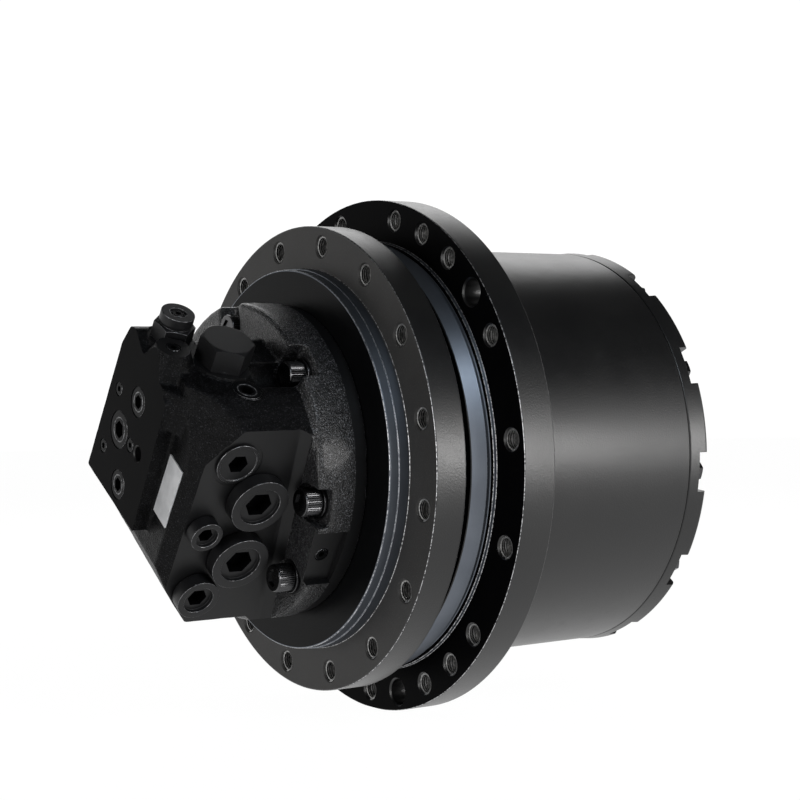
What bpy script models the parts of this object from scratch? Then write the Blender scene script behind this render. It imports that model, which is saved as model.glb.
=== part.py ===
"""Excavator final drive: a travel motor, a two-stage planetary gearbox and a sprocket hub.

Metres, with +Z up. The drive axis is X, from the motor towards the cover.
The origin is the centre of the spindle's mounting face, where it bolts to the track frame.
"""

import math

import bmesh
import bpy
from mathutils import Matrix, Vector

# Clearances
FIT = 0.0003
RUN = 0.0004
END_PLAY = 0.0006
TOOTH_PLAY = 0.0005

# How many flat sides stand for a circle
SIDES_LARGE = 30
SIDES_MEDIUM = 16
SIDES_SMALL = 8
SIDES_HOLE = 8
SIDES_PISTON = 6
SIDES_PLUG = 12
HEX = 6

# Spindle
MOUNT_FLANGE_T = 0.026
MOUNT_RIM = 0.015
MOUNT_HOLE_OUT = 0.0195
MOUNT_HOLE_R = 0.008
MOUNT_HOLES = 16
MOUNT_HOLE_FIRST = math.radians(11.25)
PILOT_IN = 0.005
PILOT_LENGTH = 0.017
PILOT_ROOT_PROUD = 0.0008
PILOT_ROOT_LENGTH = 0.009
EDGE_CHAMFER = 0.0013
CAVITY_R = 0.088
NOSE_WALL = 0.009
NOSE_WEB = 0.010
BRAKE_SHOULDER_X = 0.030
BRAKE_SHOULDER = 0.008
SHAFT_SEAT_R = 0.031
SHAFT_SEAT_DEPTH = 0.0225
SHAFT_PASSAGE_R = 0.024

# Floating seal
SEAL_GAP = 0.014
SEAL_POCKET_DEPTH = 0.012
NECK_WALL = 0.001
SEAL_RUN = 0.003
SEAL_BODY = 0.0105
SEAL_LIP = 0.019
SEAL_POCKET = 0.022
SEAL_LIP_T = 0.0055
SEAL_RUBBER_R = 0.0047

# Taper roller bearings
BEARING_WIDTH = 0.027
BEARING_INNER = 0.0145
BEARING_OUTER = 0.0155
CONE_SHOULDER = 0.010
CUP_SHOULDER = 0.009
SPACER_T = 0.0075
BEARING_REAR_X = 0.060
BEARING_APART = 0.016
ROLLERS = 20
CAGE_T = 0.0014
ROLLER_LENGTH = 0.0185
ROLLER_R_LARGE = 0.0074
ROLLER_R_SMALL = 0.0064
ROLLER_TILT = math.radians(16)

# Hub
COLLAR_OUT = 0.0055
COLLAR_LENGTH = 0.021
COLLAR_BAND = 0.013
COLLAR_GROOVE = 0.005
COLLAR_GROOVE_DEPTH = 0.0035
SPROCKET_FLANGE_T = 0.028
SPROCKET_HOLE_OUT = 0.0185
SPROCKET_RIM = 0.0145
SPROCKET_TAPPED_R = 0.008
SPROCKET_PLAIN_R = 0.0102
SPROCKET_PLAIN_FIRST = math.radians(19.2)
SPROCKET_SETS = 3
SPROCKET_TAPPED_AFTER = (12, 36, 60, 84, 96, 108)
BARREL_WALL = 0.022
BARREL_FILLET = 0.0025

# Gears
MODULE = 0.005
PRESSURE_ANGLE = math.radians(20)
RING_TEETH = 55
OUTPUT_SUN_TEETH = 17
INPUT_SUN_TEETH = 11
OUTPUT_PLANETS = 4
INPUT_PLANETS = 3
OUTPUT_GEAR_WIDTH = 0.042
INPUT_GEAR_WIDTH = 0.027
RING_MARGIN = 0.006
RING_RUN_OUT = 0.0128

# Carriers, pins and bushes
OUTPUT_CARRIER_IN = 0.0205
OUTPUT_CARRIER_T = 0.0217
OUTPUT_PIN_R = 0.017
INPUT_CARRIER_R = 0.101
INPUT_CARRIER_T = 0.012
INPUT_PIN_R = 0.014
PIN_HEAD_WIDER = 0.0055
PIN_HEAD_T = 0.0022
CARRIER_BOLT_CIRCLE_R = 0.078
CARRIER_BOLT_R = 0.007
CARRIER_BOLT_SOCKET_R = 0.0065
CARRIER_BOLT_REACH = 0.016
CARRIER_BOLTS = 8
SUN_HUB_R = 0.030
SUN_BORE_R = 0.0165
SUN_SHAFT_R = 0.0115

# Cover
COVER_SPIGOT_LENGTH = 0.010
COVER_SPIGOT_WALL = 0.024
COVER_PLATE_T = 0.0137
COVER_RIM_T = 0.0193
COVER_RIM_WIDTH = 0.028
COVER_NOTCH_FLOOR_T = 0.0095
COVER_NOTCH_R = 0.0158
COVER_BOLTS = 12
COVER_BOLT_FIRST = math.radians(6)
COVER_BOLT_IN = 0.011
COVER_BOLT_HEAD_R = 0.0095
COVER_BOLT_HEAD_T = 0.0068
COVER_PLUG_PROUD = 0.0018
COVER_PLUG_CIRCLE_R = 0.095
COVER_PLUG_R = 0.0125
COVER_PLUG_ANGLES = (90, 0, 270)
BUTTON_R = 0.018
BUTTON_SEAT = 0.004

# Travel motor
SHAFT_R = 0.0185
SHAFT_JOURNAL_R = 0.0125
SHAFT_REAR_X = -0.044
SHAFT_SOCKET_DEPTH = 0.028
SHAFT_BEARING_REAR_R = 0.018
SHAFT_BEARING_REAR_WIDTH = 0.022
SHAFT_BEARING_FRONT_WIDTH = 0.013
BLOCK_IN = 0.031
BLOCK_LENGTH = 0.060
PISTONS = 9
PISTON_CIRCLE_IN = 0.016
PISTON_BOTTOM_PLAY = 0.006
PISTON_PORT_DEPTH = 0.017
SHOE_NECK_IN = 0.002
SHOE_T = 0.0042
SHOE_NECK = 0.007
RETAINER_IN = 0.001
RETAINER_T = 0.0024
SWASH_T = 0.0172
SWASH_BORE_R = 0.0235
VALVE_PLATE_T = 0.0038
VALVE_PLATE_BOSS = 0.008
VALVE_BOSS_OUT = 0.002
KIDNEY_HALF_WIDTH = 0.0042
KIDNEY_HALF_ANGLE = math.radians(66)

# Parking brake
FRICTION_PLATES = 2
FRICTION_T = 0.0040
FRICTION_IN = 0.0035
SEPARATOR_OUT = 0.0035
SEPARATOR_T = 0.0040
BRAKE_PISTON_LENGTH = 0.0224
BRAKE_PISTON_OUT = 0.005
BRAKE_PISTON_STEP = 0.006
BRAKE_SPRING_T = 0.0018
BRAKE_SPRING_CONE = 0.0030

# Port block, in its own frame: z is the upper side, y is away from the port face
BLOCK_TURN = math.radians(35.5)
PB_RIM = 0.034
PB_BAND_IN = 0.002
PB_BAND_LENGTH = 0.012
PB_FLANGE_FRONT = -0.061
PB_BEVEL_EDGE = 0.0025
PB_SCREW_IN = 0.019
PB_SCREW_R = 0.007
PB_SCREW_HEAD_R = 0.0105
PB_SCREW_HEAD_T = 0.014
PB_SCREW_REACH = 0.024
PB_SCREW_SEAT_X = -0.047
PB_SCREW_ANGLES = (-20.25, 20.25, -74.75, 74.75, -128.5, 128.5, 180)
PB_POCKET_R = 0.0150
PB_POCKET_LENGTH = 0.045
PB_SEAL_OUT = 0.0038
PB_SEAL_R = 0.0014
PB_SCREW_TIP = 0.030
PB_SCREW_TAP = 0.033
PORT_FACE = 0.0795
PORT_TOP_OUT = 0.0095
PORT_BOTTOM_OUT = 0.0085
PORT_CORNER_BOTTOM = -0.057
FAR_SIDE = -0.072
UPPER_DROP = 0.002
UPPER_FROM = -0.016
SIDE_FLAT_IN = 0.0075
UPPER_TO = 0.052
LABEL_X = -0.149
LABEL_BEVEL = 0.009
LABEL_BOTTOM = -0.038
END_X = -0.162
END_FROM = -0.040
END_TO = 0.046
END_DROP = 0.005
END_BOTTOM = -0.027

PORT_STEP = 0.006
SEAT_HEIGHT = 0.103
BOSS_RISE = 0.010
FLAT_PLUG_X = -0.042
WASHER_T = 0.0025
WASHER_R = 0.0122
LABEL_T = 0.0007
LABEL_CORNERS = ((0.0478, 0.0472), (0.0694, 0.0472), (0.0694, -0.003), (0.0478, -0.003))

# Radii that follow from the motor cavity outwards
BEARING_BORE_R = CAVITY_R + NOSE_WALL
ROLLER_CIRCLE_R = BEARING_BORE_R + BEARING_INNER
BEARING_OUTER_R = ROLLER_CIRCLE_R + BEARING_OUTER
BEARING_SHOULDER_R = BEARING_BORE_R + CONE_SHOULDER
CUP_SHOULDER_R = BEARING_OUTER_R - CUP_SHOULDER
SPACER_R = BEARING_BORE_R + SPACER_T
NECK_R = BEARING_OUTER_R + NECK_WALL
SEAL_BORE_R = NECK_R + SEAL_RUN
SEAL_BODY_R = SEAL_BORE_R + SEAL_BODY
SEAL_LIP_R = SEAL_BORE_R + SEAL_LIP
SEAL_POCKET_R = SEAL_BORE_R + SEAL_POCKET
PILOT_R = SEAL_POCKET_R - PILOT_IN
PILOT_ROOT_R = PILOT_R + PILOT_ROOT_PROUD
MOUNT_HOLE_CIRCLE_R = PILOT_R + MOUNT_HOLE_OUT
MOUNT_FLANGE_R = MOUNT_HOLE_CIRCLE_R + MOUNT_RIM
BRAKE_SHOULDER_R = CAVITY_R - BRAKE_SHOULDER
FRICTION_R = CAVITY_R - FRICTION_IN
PB_FLANGE_R = CAVITY_R + PB_RIM
PB_BAND_R = PB_FLANGE_R - PB_BAND_IN
PB_SCREW_CIRCLE_R = PB_FLANGE_R - PB_SCREW_IN
PB_SEAL_CIRCLE_R = CAVITY_R + PB_SEAL_OUT
SIDE_FLAT = PB_FLANGE_R - SIDE_FLAT_IN

BLOCK_R = CAVITY_R - BLOCK_IN
PISTON_CIRCLE_R = BLOCK_R - PISTON_CIRCLE_IN
PISTON_R = PISTON_CIRCLE_R * 0.22
PISTON_PORT_R = PISTON_R / 2
SHOE_R = PISTON_CIRCLE_R * math.sin(math.pi / PISTONS) * 0.8
SHOE_NECK_R = PISTON_R - SHOE_NECK_IN
RETAINER_R = BLOCK_R - RETAINER_IN
VALVE_BOSS_R = BLOCK_R + VALVE_BOSS_OUT
SEPARATOR_BORE_R = BLOCK_R + SEPARATOR_OUT
BRAKE_PISTON_BORE_R = BLOCK_R + BRAKE_PISTON_OUT

# Radii that follow from the ring gear outwards
RING_RELIEF_R = MODULE * (RING_TEETH / 2 + 1.4)
BARREL_R = RING_RELIEF_R + BARREL_WALL
COLLAR_R = BARREL_R + COLLAR_OUT
COLLAR_GROOVE_R = COLLAR_R - COLLAR_GROOVE_DEPTH
SPROCKET_HOLE_CIRCLE_R = COLLAR_R + SPROCKET_HOLE_OUT
SPROCKET_FLANGE_R = SPROCKET_HOLE_CIRCLE_R + SPROCKET_RIM
COVER_BOLT_CIRCLE_R = BARREL_R - COVER_BOLT_IN
OUTPUT_CARRIER_R = RING_RELIEF_R - OUTPUT_CARRIER_IN

# Heights of the port block that follow from its port face and its upper seats
PORT_FACE_TOP = PORT_FACE + PORT_TOP_OUT
PORT_FACE_BOTTOM = -PORT_FACE - PORT_BOTTOM_OUT
UPPER_SIDE = SEAT_HEIGHT - UPPER_DROP
END_TOP = SEAT_HEIGHT - END_DROP
BOSS_PLUG_TOP = SEAT_HEIGHT + BOSS_RISE

# Outlines of the cast body, as (towards the port side, up)
BODY_SECTION = (
    (PORT_FACE + 0.004, PORT_FACE_BOTTOM),
    (PORT_FACE + 0.004, PORT_FACE_TOP - 0.002),
    (PORT_FACE, PORT_FACE_TOP),
    (UPPER_TO + 0.008, UPPER_SIDE - 0.003),
    (UPPER_TO, UPPER_SIDE),
    (UPPER_FROM, UPPER_SIDE),
    (-0.060, 0.068),
    (FAR_SIDE, 0.050),
    (FAR_SIDE, -0.048),
    (-0.055, -0.066),
    (0.005, PORT_FACE_BOTTOM),
)
END_SECTION = (
    (END_FROM, END_BOTTOM),
    (END_TO + 0.002, -0.022),
    (END_TO - 0.004, END_TOP - 0.011),
    (0.003, END_TOP - 0.008),
    (-0.013, END_TOP - 0.003),
    (-0.026, END_TOP + 0.003),
    (-0.033, END_TOP),
    (END_FROM, END_TOP - 0.014),
)

# Outlines of the cast body, as (x, up)
BODY_SIDE_VIEW = (
    (LABEL_X - 0.01, LABEL_BOTTOM + 0.010),
    (LABEL_X, LABEL_BOTTOM),
    (-0.138, PORT_CORNER_BOTTOM),
    (-0.115, PORT_FACE_BOTTOM + 0.0005),
    (-0.1145, PORT_FACE_BOTTOM - 0.02),
    (-0.030, PORT_FACE_BOTTOM - 0.02),
    (-0.030, 0.13),
    (LABEL_X - 0.01, 0.13),
)
PORT_FACE_CUT = (
    (-0.20, -0.14),
    (-0.0455, -0.14),
    (-0.049, -0.092),
    (-0.071, 0.090),
    (-0.077, 0.14),
    (-0.20, 0.14),
)
# Three points of the plane that cuts the upper corner of port face and label face
CORNER_PLANE = (
    (-0.141, PORT_FACE, 0.059),
    (-0.117, PORT_FACE, 0.088),
    (LABEL_X, 0.044, 0.094),
)

# Plugs, cap and valves of the port block
MAIN_PORT_R = 0.0225
MAIN_PORT_PROUD = 0.012
MAIN_PORT_X = -0.0915
MAIN_PORT_APART = 0.0535
MAIN_PORT_MID = 0.0025
DRAIN_R = 0.0165
DRAIN_PROUD = 0.012
DRAIN_UPPER = (-0.1145, 0.0613)
DRAIN_LOWER = (-0.117, -0.056)
DRAIN_UPPER_PROUD = 0.002
PILOT_PORT_R = 0.0122
PILOT_PORT_PROUD = 0.011
PILOT_PORT = (-0.1265, 0.003)
PLUG_LARGE_R = 0.0136
PLUG_MEDIUM_R = 0.0106
PLUG_SMALL_R = 0.0048
PLUG_DEPTH = 0.012
PLUG_GROOVE = 0.0007
END_PLUG_LARGE = (-0.010, 0.027)
END_PLUGS_MEDIUM = ((0.005, 0.0625), (0.010, -0.0085))
END_PLUGS_SMALL = ((-0.026, 0.0525), (-0.0255, 0.001), (0.0112, 0.0285))
END_TAPPED = (0.0245, 0.0305)
END_TAPPED_R = 0.0055
UPPER_PLUG = (-0.103, 0.046)
BOSS_PLUG = (-0.149, 0.009)
BOSS_R = 0.0128
SPOOL_AT = (-0.109, 0.0125)
SPOOL_R = 0.014
SPOOL_HALF_LENGTH = 0.045
SPOOL_STEM_R = 0.006
SPOOL_STEM = 0.012
SPOOL_STROKE = 0.0025
CAP_ACROSS_FLATS = 0.036
CAP_T = 0.0185
CAP_SHANK_R = 0.017
CAP_SHANK = 0.020
CAP_TURN = math.radians(12)
SPOOL_BORE_END = -0.066
SPRING_R = 0.0103
SPRING_WIRE_R = 0.0012
SPRING_TURNS = 4
RELIEF_AT = (-0.1375, -0.017)
RELIEF_SHANK_R = 0.011
RELIEF_SHANK = 0.040
RELIEF_ACROSS_FLATS = 0.027
RELIEF_HEX_T = 0.013
RELIEF_CAP_R = 0.0125
RELIEF_CAP_T = 0.009

# Stations along the drive axis
PILOT_FRONT = -PILOT_LENGTH
HUB_FRONT = MOUNT_FLANGE_T + SEAL_GAP
SPROCKET_FACE = HUB_FRONT + COLLAR_LENGTH
BARREL_START = SPROCKET_FACE + SPROCKET_FLANGE_T
BEARING_FRONT_X = BEARING_REAR_X + BEARING_WIDTH + BEARING_APART
NOSE_END = BEARING_FRONT_X + BEARING_WIDTH
CAVITY_DEPTH = NOSE_END - SHAFT_SEAT_DEPTH - NOSE_WEB
OUTPUT_CARRIER_X = NOSE_END + FIT
OUTPUT_GEAR_X = OUTPUT_CARRIER_X + OUTPUT_CARRIER_T + END_PLAY
OUTPUT_HEAD_X = OUTPUT_GEAR_X + OUTPUT_GEAR_WIDTH + END_PLAY
INPUT_CARRIER_X = OUTPUT_HEAD_X + PIN_HEAD_T + END_PLAY
INPUT_GEAR_X = INPUT_CARRIER_X + INPUT_CARRIER_T + END_PLAY
INPUT_HEAD_X = INPUT_GEAR_X + INPUT_GEAR_WIDTH + END_PLAY
SUN_END_X = INPUT_HEAD_X + PIN_HEAD_T
RING_START = OUTPUT_GEAR_X - RING_MARGIN
RING_END = INPUT_HEAD_X + RING_MARGIN
COVER_JOINT = RING_END + RING_RUN_OUT
CYLINDER_BLOCK_X = PILOT_FRONT + VALVE_PLATE_BOSS + VALVE_PLATE_T + 2 * FIT
CYLINDER_BLOCK_END = CYLINDER_BLOCK_X + BLOCK_LENGTH
SWASH_X = CAVITY_DEPTH - FIT - SWASH_T
SHOE_X = SWASH_X - RUN - SHOE_T
PISTON_END = SHOE_X - SHOE_NECK
PISTON_LENGTH = PISTON_END - CYLINDER_BLOCK_X - PISTON_PORT_DEPTH - PISTON_BOTTOM_PLAY

# Gear sizes that follow from the tooth counts
OUTPUT_PLANET_TEETH = (RING_TEETH - OUTPUT_SUN_TEETH) // 2
INPUT_PLANET_TEETH = (RING_TEETH - INPUT_SUN_TEETH) // 2
OUTPUT_CENTRES = MODULE * (OUTPUT_SUN_TEETH + OUTPUT_PLANET_TEETH) / 2
INPUT_CENTRES = MODULE * (INPUT_SUN_TEETH + INPUT_PLANET_TEETH) / 2
RING_TIP_R = MODULE * (RING_TEETH / 2 - 1)

HEX_CORNER = 1 / math.cos(math.pi / HEX)

# Directions in the port block's own frame
PORT_WAY = (0, -1, 0)
UP_WAY = (0, 0, 1)
END_WAY = (-1, 0, 0)


def material(name, colour, metallic, roughness):
    """A Principled material with one colour."""
    made = bpy.data.materials.new(name)
    made.use_nodes = True
    shader = made.node_tree.nodes["Principled BSDF"]
    shader.inputs["Base Color"].default_value = (*colour, 1.0)
    shader.inputs["Metallic"].default_value = metallic
    shader.inputs["Roughness"].default_value = roughness
    made.diffuse_color = (*colour, 1.0)
    return made


def finish(bm, name, look, turn=0.0):
    """Make the object of a finished bmesh, turned about the drive axis."""
    bmesh.ops.remove_doubles(bm, verts=bm.verts, dist=1e-7)
    bmesh.ops.recalc_face_normals(bm, faces=bm.faces)
    mesh = bpy.data.meshes.new(name)
    bm.to_mesh(mesh)
    bm.free()
    mesh.materials.append(look)
    mesh.shade_smooth()
    mesh.set_sharp_from_angle(angle=math.radians(32))
    made = bpy.data.objects.new(name, mesh)
    made.rotation_euler.x = turn
    bpy.context.collection.objects.link(made)
    return made


def cutter(bm, name, turn=0.0):
    """A helper solid that only a Boolean uses."""
    made = finish(bm, name, LOOKS["helper"], turn)
    made.hide_render = True
    made.display_type = "WIRE"
    return made


def boolean(target, operation, helper):
    """Cut with, join to or keep what is shared with a helper solid."""
    modifier = target.modifiers.new(helper.name, "BOOLEAN")
    modifier.operation = operation
    modifier.object = helper
    modifier.solver = "EXACT"
    return target


def boolean_all(target, operation, name, helpers):
    """The same with several helper solids at once."""
    group = bpy.data.collections.new(name)
    for helper in helpers:
        group.objects.link(helper)
    modifier = target.modifiers.new(name, "BOOLEAN")
    modifier.operation = operation
    modifier.operand_type = "COLLECTION"
    modifier.collection = group
    modifier.solver = "EXACT"
    return target


def polar(radius, angle):
    """A point across the drive axis: angles run from +Y towards +Z."""
    return radius * math.cos(angle), radius * math.sin(angle)


def around(count, first=0.0):
    """Evenly spaced angles of a full circle."""
    return [first + k * math.tau / count for k in range(count)]


def hole_radius(radius, sides):
    """The corner radius of a many-sided hole whose flats keep this radius."""
    return radius / math.cos(math.pi / sides)


def turned(bm, outline, sides, at=(0.0, 0.0), place=None):
    """Spin an (x, r) outline about a line along X. An outline that starts on the axis is left open there."""
    points = [bm.verts.new((x, r, 0.0)) for x, r in outline]
    loop = points if outline[0][1] == 0 else points + points[:1]
    edges = [bm.edges.new(pair) for pair in zip(loop, loop[1:])]
    before = set(bm.verts) - set(points)
    bmesh.ops.spin(
        bm,
        geom=points + edges,
        cent=(0, 0, 0),
        axis=(1, 0, 0),
        angle=math.tau,
        steps=sides,
        use_merge=True,
    )
    made = [v for v in bm.verts if v not in before]
    bmesh.ops.remove_doubles(bm, verts=made, dist=1e-7)
    made = [v for v in bm.verts if v not in before]
    bmesh.ops.translate(bm, verts=made, vec=(0.0, *at))
    if place is not None:
        bmesh.ops.transform(bm, matrix=place, verts=made)


def circle(radius, sides, centre=(0.0, 0.0), first=0.0):
    """Corners of a regular outline across the drive axis."""
    return [
        (centre[0] + radius * math.cos(a), centre[1] + radius * math.sin(a))
        for a in around(sides, first)
    ]


def plate(bm, loops, x0, x1, place=None):
    """Extrude a flat outline, with its holes, along the drive axis."""
    before = set(bm.verts)
    edges = []
    for loop in loops:
        points = [bm.verts.new((x0, y, z)) for y, z in loop]
        edges += [bm.edges.new(pair) for pair in zip(points, points[1:] + points[:1])]
    if len(loops) == 1:
        faces = [bm.faces.new(points)]
    else:
        filled = bmesh.ops.triangle_fill(bm, use_beauty=True, edges=edges)
        faces = [item for item in filled["geom"] if isinstance(item, bmesh.types.BMFace)]
    grown = bmesh.ops.extrude_face_region(bm, geom=faces, use_keep_orig=True)
    far = [item for item in grown["geom"] if isinstance(item, bmesh.types.BMVert)]
    bmesh.ops.translate(bm, verts=far, vec=(x1 - x0, 0, 0))
    if place is not None:
        made = [v for v in bm.verts if v not in before]
        bmesh.ops.transform(bm, matrix=place, verts=made)


def ring(bm, inner, outer, x0, x1, sides):
    """A plain ring whose bore keeps its stated radius."""
    bore_r = hole_radius(inner, sides)
    turned(bm, [(x0, bore_r), (x1, bore_r), (x1, outer), (x0, outer)], sides)


def torus(bm, radius, section, x, sides, section_sides=8):
    """A round seal ring about the drive axis."""
    outline = [
        (x + section * math.cos(a), radius + section * math.sin(a))
        for a in around(section_sides, math.pi / section_sides)
    ]
    turned(bm, outline, sides)


def facing(at, direction):
    """The placing that puts local +X along a direction, with its start at a point."""
    turn = Vector((1, 0, 0)).rotation_difference(Vector(direction)).to_matrix().to_4x4()
    return Matrix.Translation(Vector(at)) @ turn


def half_tooth(teeth, radius, wider=0.0):
    """Half the angle that an involute tooth fills at a radius."""
    pitch = MODULE * teeth / 2
    base = pitch * math.cos(PRESSURE_ANGLE)
    there = math.acos(min(1.0, base / radius))
    spread = math.tan(PRESSURE_ANGLE) - PRESSURE_ANGLE - (math.tan(there) - there)
    return math.pi / (2 * teeth) + spread + wider / (2 * pitch)


def gear_outline(teeth, radii, wider, first=0.0):
    """Outline of an involute gear, with a tooth centred on the first angle."""
    outline = []
    for middle in around(teeth, first):
        halves = [half_tooth(teeth, r, wider) for r in radii]
        outline += [polar(r, middle - h) for r, h in zip(radii, halves)]
        outline += [polar(r, middle + h) for r, h in reversed(list(zip(radii, halves)))]
    return outline


def gear_loop(teeth, first):
    """Outline of an outside gear of this drive."""
    pitch = MODULE * teeth / 2
    radii = (pitch - 1.2 * MODULE, pitch + 0.95 * MODULE)
    return gear_outline(teeth, radii, -TOOTH_PLAY, first)


def planet_phase(angle, teeth):
    """The turn that meshes a planet at this place with a ring space on +Y."""
    return angle * (1 - RING_TEETH / teeth)


def sun_phase(angle, planet_teeth, sun_teeth):
    """The turn that meshes a sun with the planet at this place."""
    return angle * (1 + RING_TEETH / sun_teeth) + math.pi * (planet_teeth - 1) / sun_teeth


def make_spindle():
    """The fixed casting: mounting flange, pilot, seal pocket, bearing nose and motor housing."""
    cavity = hole_radius(CAVITY_R, SIDES_LARGE)
    pocket_x = MOUNT_FLANGE_T - SEAL_POCKET_DEPTH
    seat_x = NOSE_END - SHAFT_SEAT_DEPTH + FIT
    seat = hole_radius(SHAFT_SEAT_R, SIDES_LARGE)
    outline = [
        (PILOT_FRONT, PILOT_R - EDGE_CHAMFER),
        (PILOT_FRONT + EDGE_CHAMFER, PILOT_R),
        (-PILOT_ROOT_LENGTH, PILOT_R),
        (-PILOT_ROOT_LENGTH, PILOT_ROOT_R),
        (0, PILOT_ROOT_R),
        (0, MOUNT_FLANGE_R - EDGE_CHAMFER),
        (EDGE_CHAMFER, MOUNT_FLANGE_R),
        (MOUNT_FLANGE_T - EDGE_CHAMFER, MOUNT_FLANGE_R),
        (MOUNT_FLANGE_T, MOUNT_FLANGE_R - EDGE_CHAMFER),
        (MOUNT_FLANGE_T, hole_radius(SEAL_POCKET_R, SIDES_LARGE)),
        (pocket_x, hole_radius(SEAL_POCKET_R, SIDES_LARGE)),
        (pocket_x, NECK_R),
        (BEARING_REAR_X - PIN_HEAD_T - FIT, NECK_R),
        (BEARING_REAR_X - PIN_HEAD_T - FIT, BEARING_SHOULDER_R),
        (BEARING_REAR_X - FIT, BEARING_SHOULDER_R),
        (BEARING_REAR_X - FIT, BEARING_BORE_R - FIT),
        (NOSE_END, BEARING_BORE_R - FIT),
        (NOSE_END, SHAFT_PASSAGE_R),
        (seat_x + SHAFT_BEARING_FRONT_WIDTH, SHAFT_PASSAGE_R),
        (seat_x + SHAFT_BEARING_FRONT_WIDTH, seat),
        (CAVITY_DEPTH, seat),
        (CAVITY_DEPTH, hole_radius(BRAKE_SHOULDER_R, SIDES_LARGE)),
        (BRAKE_SHOULDER_X, hole_radius(BRAKE_SHOULDER_R, SIDES_LARGE)),
        (BRAKE_SHOULDER_X, cavity),
        (PILOT_FRONT, cavity),
    ]
    bm = bmesh.new()
    turned(bm, outline, SIDES_LARGE)
    spindle = finish(bm, "spindle", LOOKS["cast"])
    bm = bmesh.new()
    mount_hole = hole_radius(MOUNT_HOLE_R, SIDES_HOLE)
    for angle in around(MOUNT_HOLES, MOUNT_HOLE_FIRST):
        at = polar(MOUNT_HOLE_CIRCLE_R, angle)
        plate(bm, [circle(mount_hole, SIDES_HOLE, at)], -0.01, MOUNT_FLANGE_T + 0.01)
    tapped = hole_radius(PB_SCREW_R + FIT, SIDES_HOLE)
    for angle in screw_angles():
        at = polar(PB_SCREW_CIRCLE_R, angle)
        end = PB_SCREW_SEAT_X + PB_SCREW_REACH + PB_SCREW_TAP
        plate(bm, [circle(tapped, SIDES_HOLE, at)], PILOT_FRONT - 0.01, end)
    tapped = hole_radius(CARRIER_BOLT_R + 2 * FIT, HEX)
    start = NOSE_END - CARRIER_BOLT_REACH - 0.002
    for angle in carrier_bolt_angles():
        at = polar(CARRIER_BOLT_CIRCLE_R, angle)
        plate(bm, [circle(tapped, HEX, at)], start, NOSE_END + 0.01)
    return boolean(spindle, "DIFFERENCE", cutter(bm, "spindle_holes"))


def screw_angles():
    """Where the port block's screws stand round the drive axis."""
    port_side = BLOCK_TURN + math.pi
    return [port_side + math.radians(a) for a in PB_SCREW_ANGLES]


def carrier_bolt_angles():
    """Carrier bolts stand half a step away from the planet pins."""
    return around(CARRIER_BOLTS, math.pi / CARRIER_BOLTS)


def make_hub():
    """The turning drum: seal pocket, collar, sprocket flange, barrel and ring gear teeth."""
    seat = hole_radius(BEARING_OUTER_R + FIT, SIDES_LARGE)
    relief = hole_radius(RING_RELIEF_R, SIDES_LARGE)
    passage = hole_radius(SEAL_BORE_R, SIDES_LARGE)
    shoulder = hole_radius(CUP_SHOULDER_R, SIDES_LARGE)
    pocket = hole_radius(SEAL_POCKET_R, SIDES_LARGE)
    groove_x = HUB_FRONT + COLLAR_BAND
    outline = [
        (HUB_FRONT, COLLAR_R - EDGE_CHAMFER),
        (HUB_FRONT + EDGE_CHAMFER, COLLAR_R),
        (groove_x, COLLAR_R),
        (groove_x, COLLAR_GROOVE_R),
        (groove_x + COLLAR_GROOVE, COLLAR_GROOVE_R),
        (groove_x + COLLAR_GROOVE, COLLAR_R),
        (SPROCKET_FACE, COLLAR_R),
        (SPROCKET_FACE, SPROCKET_FLANGE_R - EDGE_CHAMFER),
        (SPROCKET_FACE + EDGE_CHAMFER, SPROCKET_FLANGE_R),
        (BARREL_START - EDGE_CHAMFER, SPROCKET_FLANGE_R),
        (BARREL_START, SPROCKET_FLANGE_R - EDGE_CHAMFER),
        (BARREL_START, BARREL_R + BARREL_FILLET),
        (BARREL_START + BARREL_FILLET, BARREL_R),
        (COVER_JOINT, BARREL_R),
        (COVER_JOINT, relief),
        (RING_END, relief),
        (RING_END, RING_TIP_R),
        (RING_START, RING_TIP_R),
        (RING_START, relief),
        (NOSE_END + FIT, relief),
        (NOSE_END + FIT, seat),
        (BEARING_FRONT_X, seat),
        (BEARING_FRONT_X, shoulder),
        (BEARING_REAR_X + BEARING_WIDTH, shoulder),
        (BEARING_REAR_X + BEARING_WIDTH, seat),
        (BEARING_REAR_X - FIT, seat),
        (BEARING_REAR_X - FIT, passage),
        (HUB_FRONT + SEAL_POCKET_DEPTH, passage),
        (HUB_FRONT + SEAL_POCKET_DEPTH, pocket),
        (HUB_FRONT, pocket),
    ]
    bm = bmesh.new()
    turned(bm, outline, SIDES_LARGE)
    hub = finish(bm, "hub", LOOKS["hub"])
    bm = bmesh.new()
    pitch = MODULE * RING_TEETH / 2
    radii = (RING_TIP_R - 0.3 * MODULE, pitch + 1.2 * MODULE)
    spaces = gear_outline(RING_TEETH, radii, TOOTH_PLAY)
    plate(bm, [spaces], RING_START - 0.004, RING_END + 0.004)
    boolean(hub, "DIFFERENCE", cutter(bm, "ring_gear_spaces"))
    bm = bmesh.new()
    through = (SPROCKET_FACE - 0.01, BARREL_START + 0.01)
    for first in around(SPROCKET_SETS, SPROCKET_PLAIN_FIRST):
        at = polar(SPROCKET_HOLE_CIRCLE_R, first)
        plate(bm, [circle(hole_radius(SPROCKET_PLAIN_R, SIDES_HOLE), SIDES_HOLE, at)], *through)
        for after in SPROCKET_TAPPED_AFTER:
            at = polar(SPROCKET_HOLE_CIRCLE_R, first + math.radians(after))
            plate(bm, [circle(hole_radius(SPROCKET_TAPPED_R, SIDES_HOLE), SIDES_HOLE, at)], *through)
    return boolean(hub, "DIFFERENCE", cutter(bm, "hub_holes"))


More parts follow.
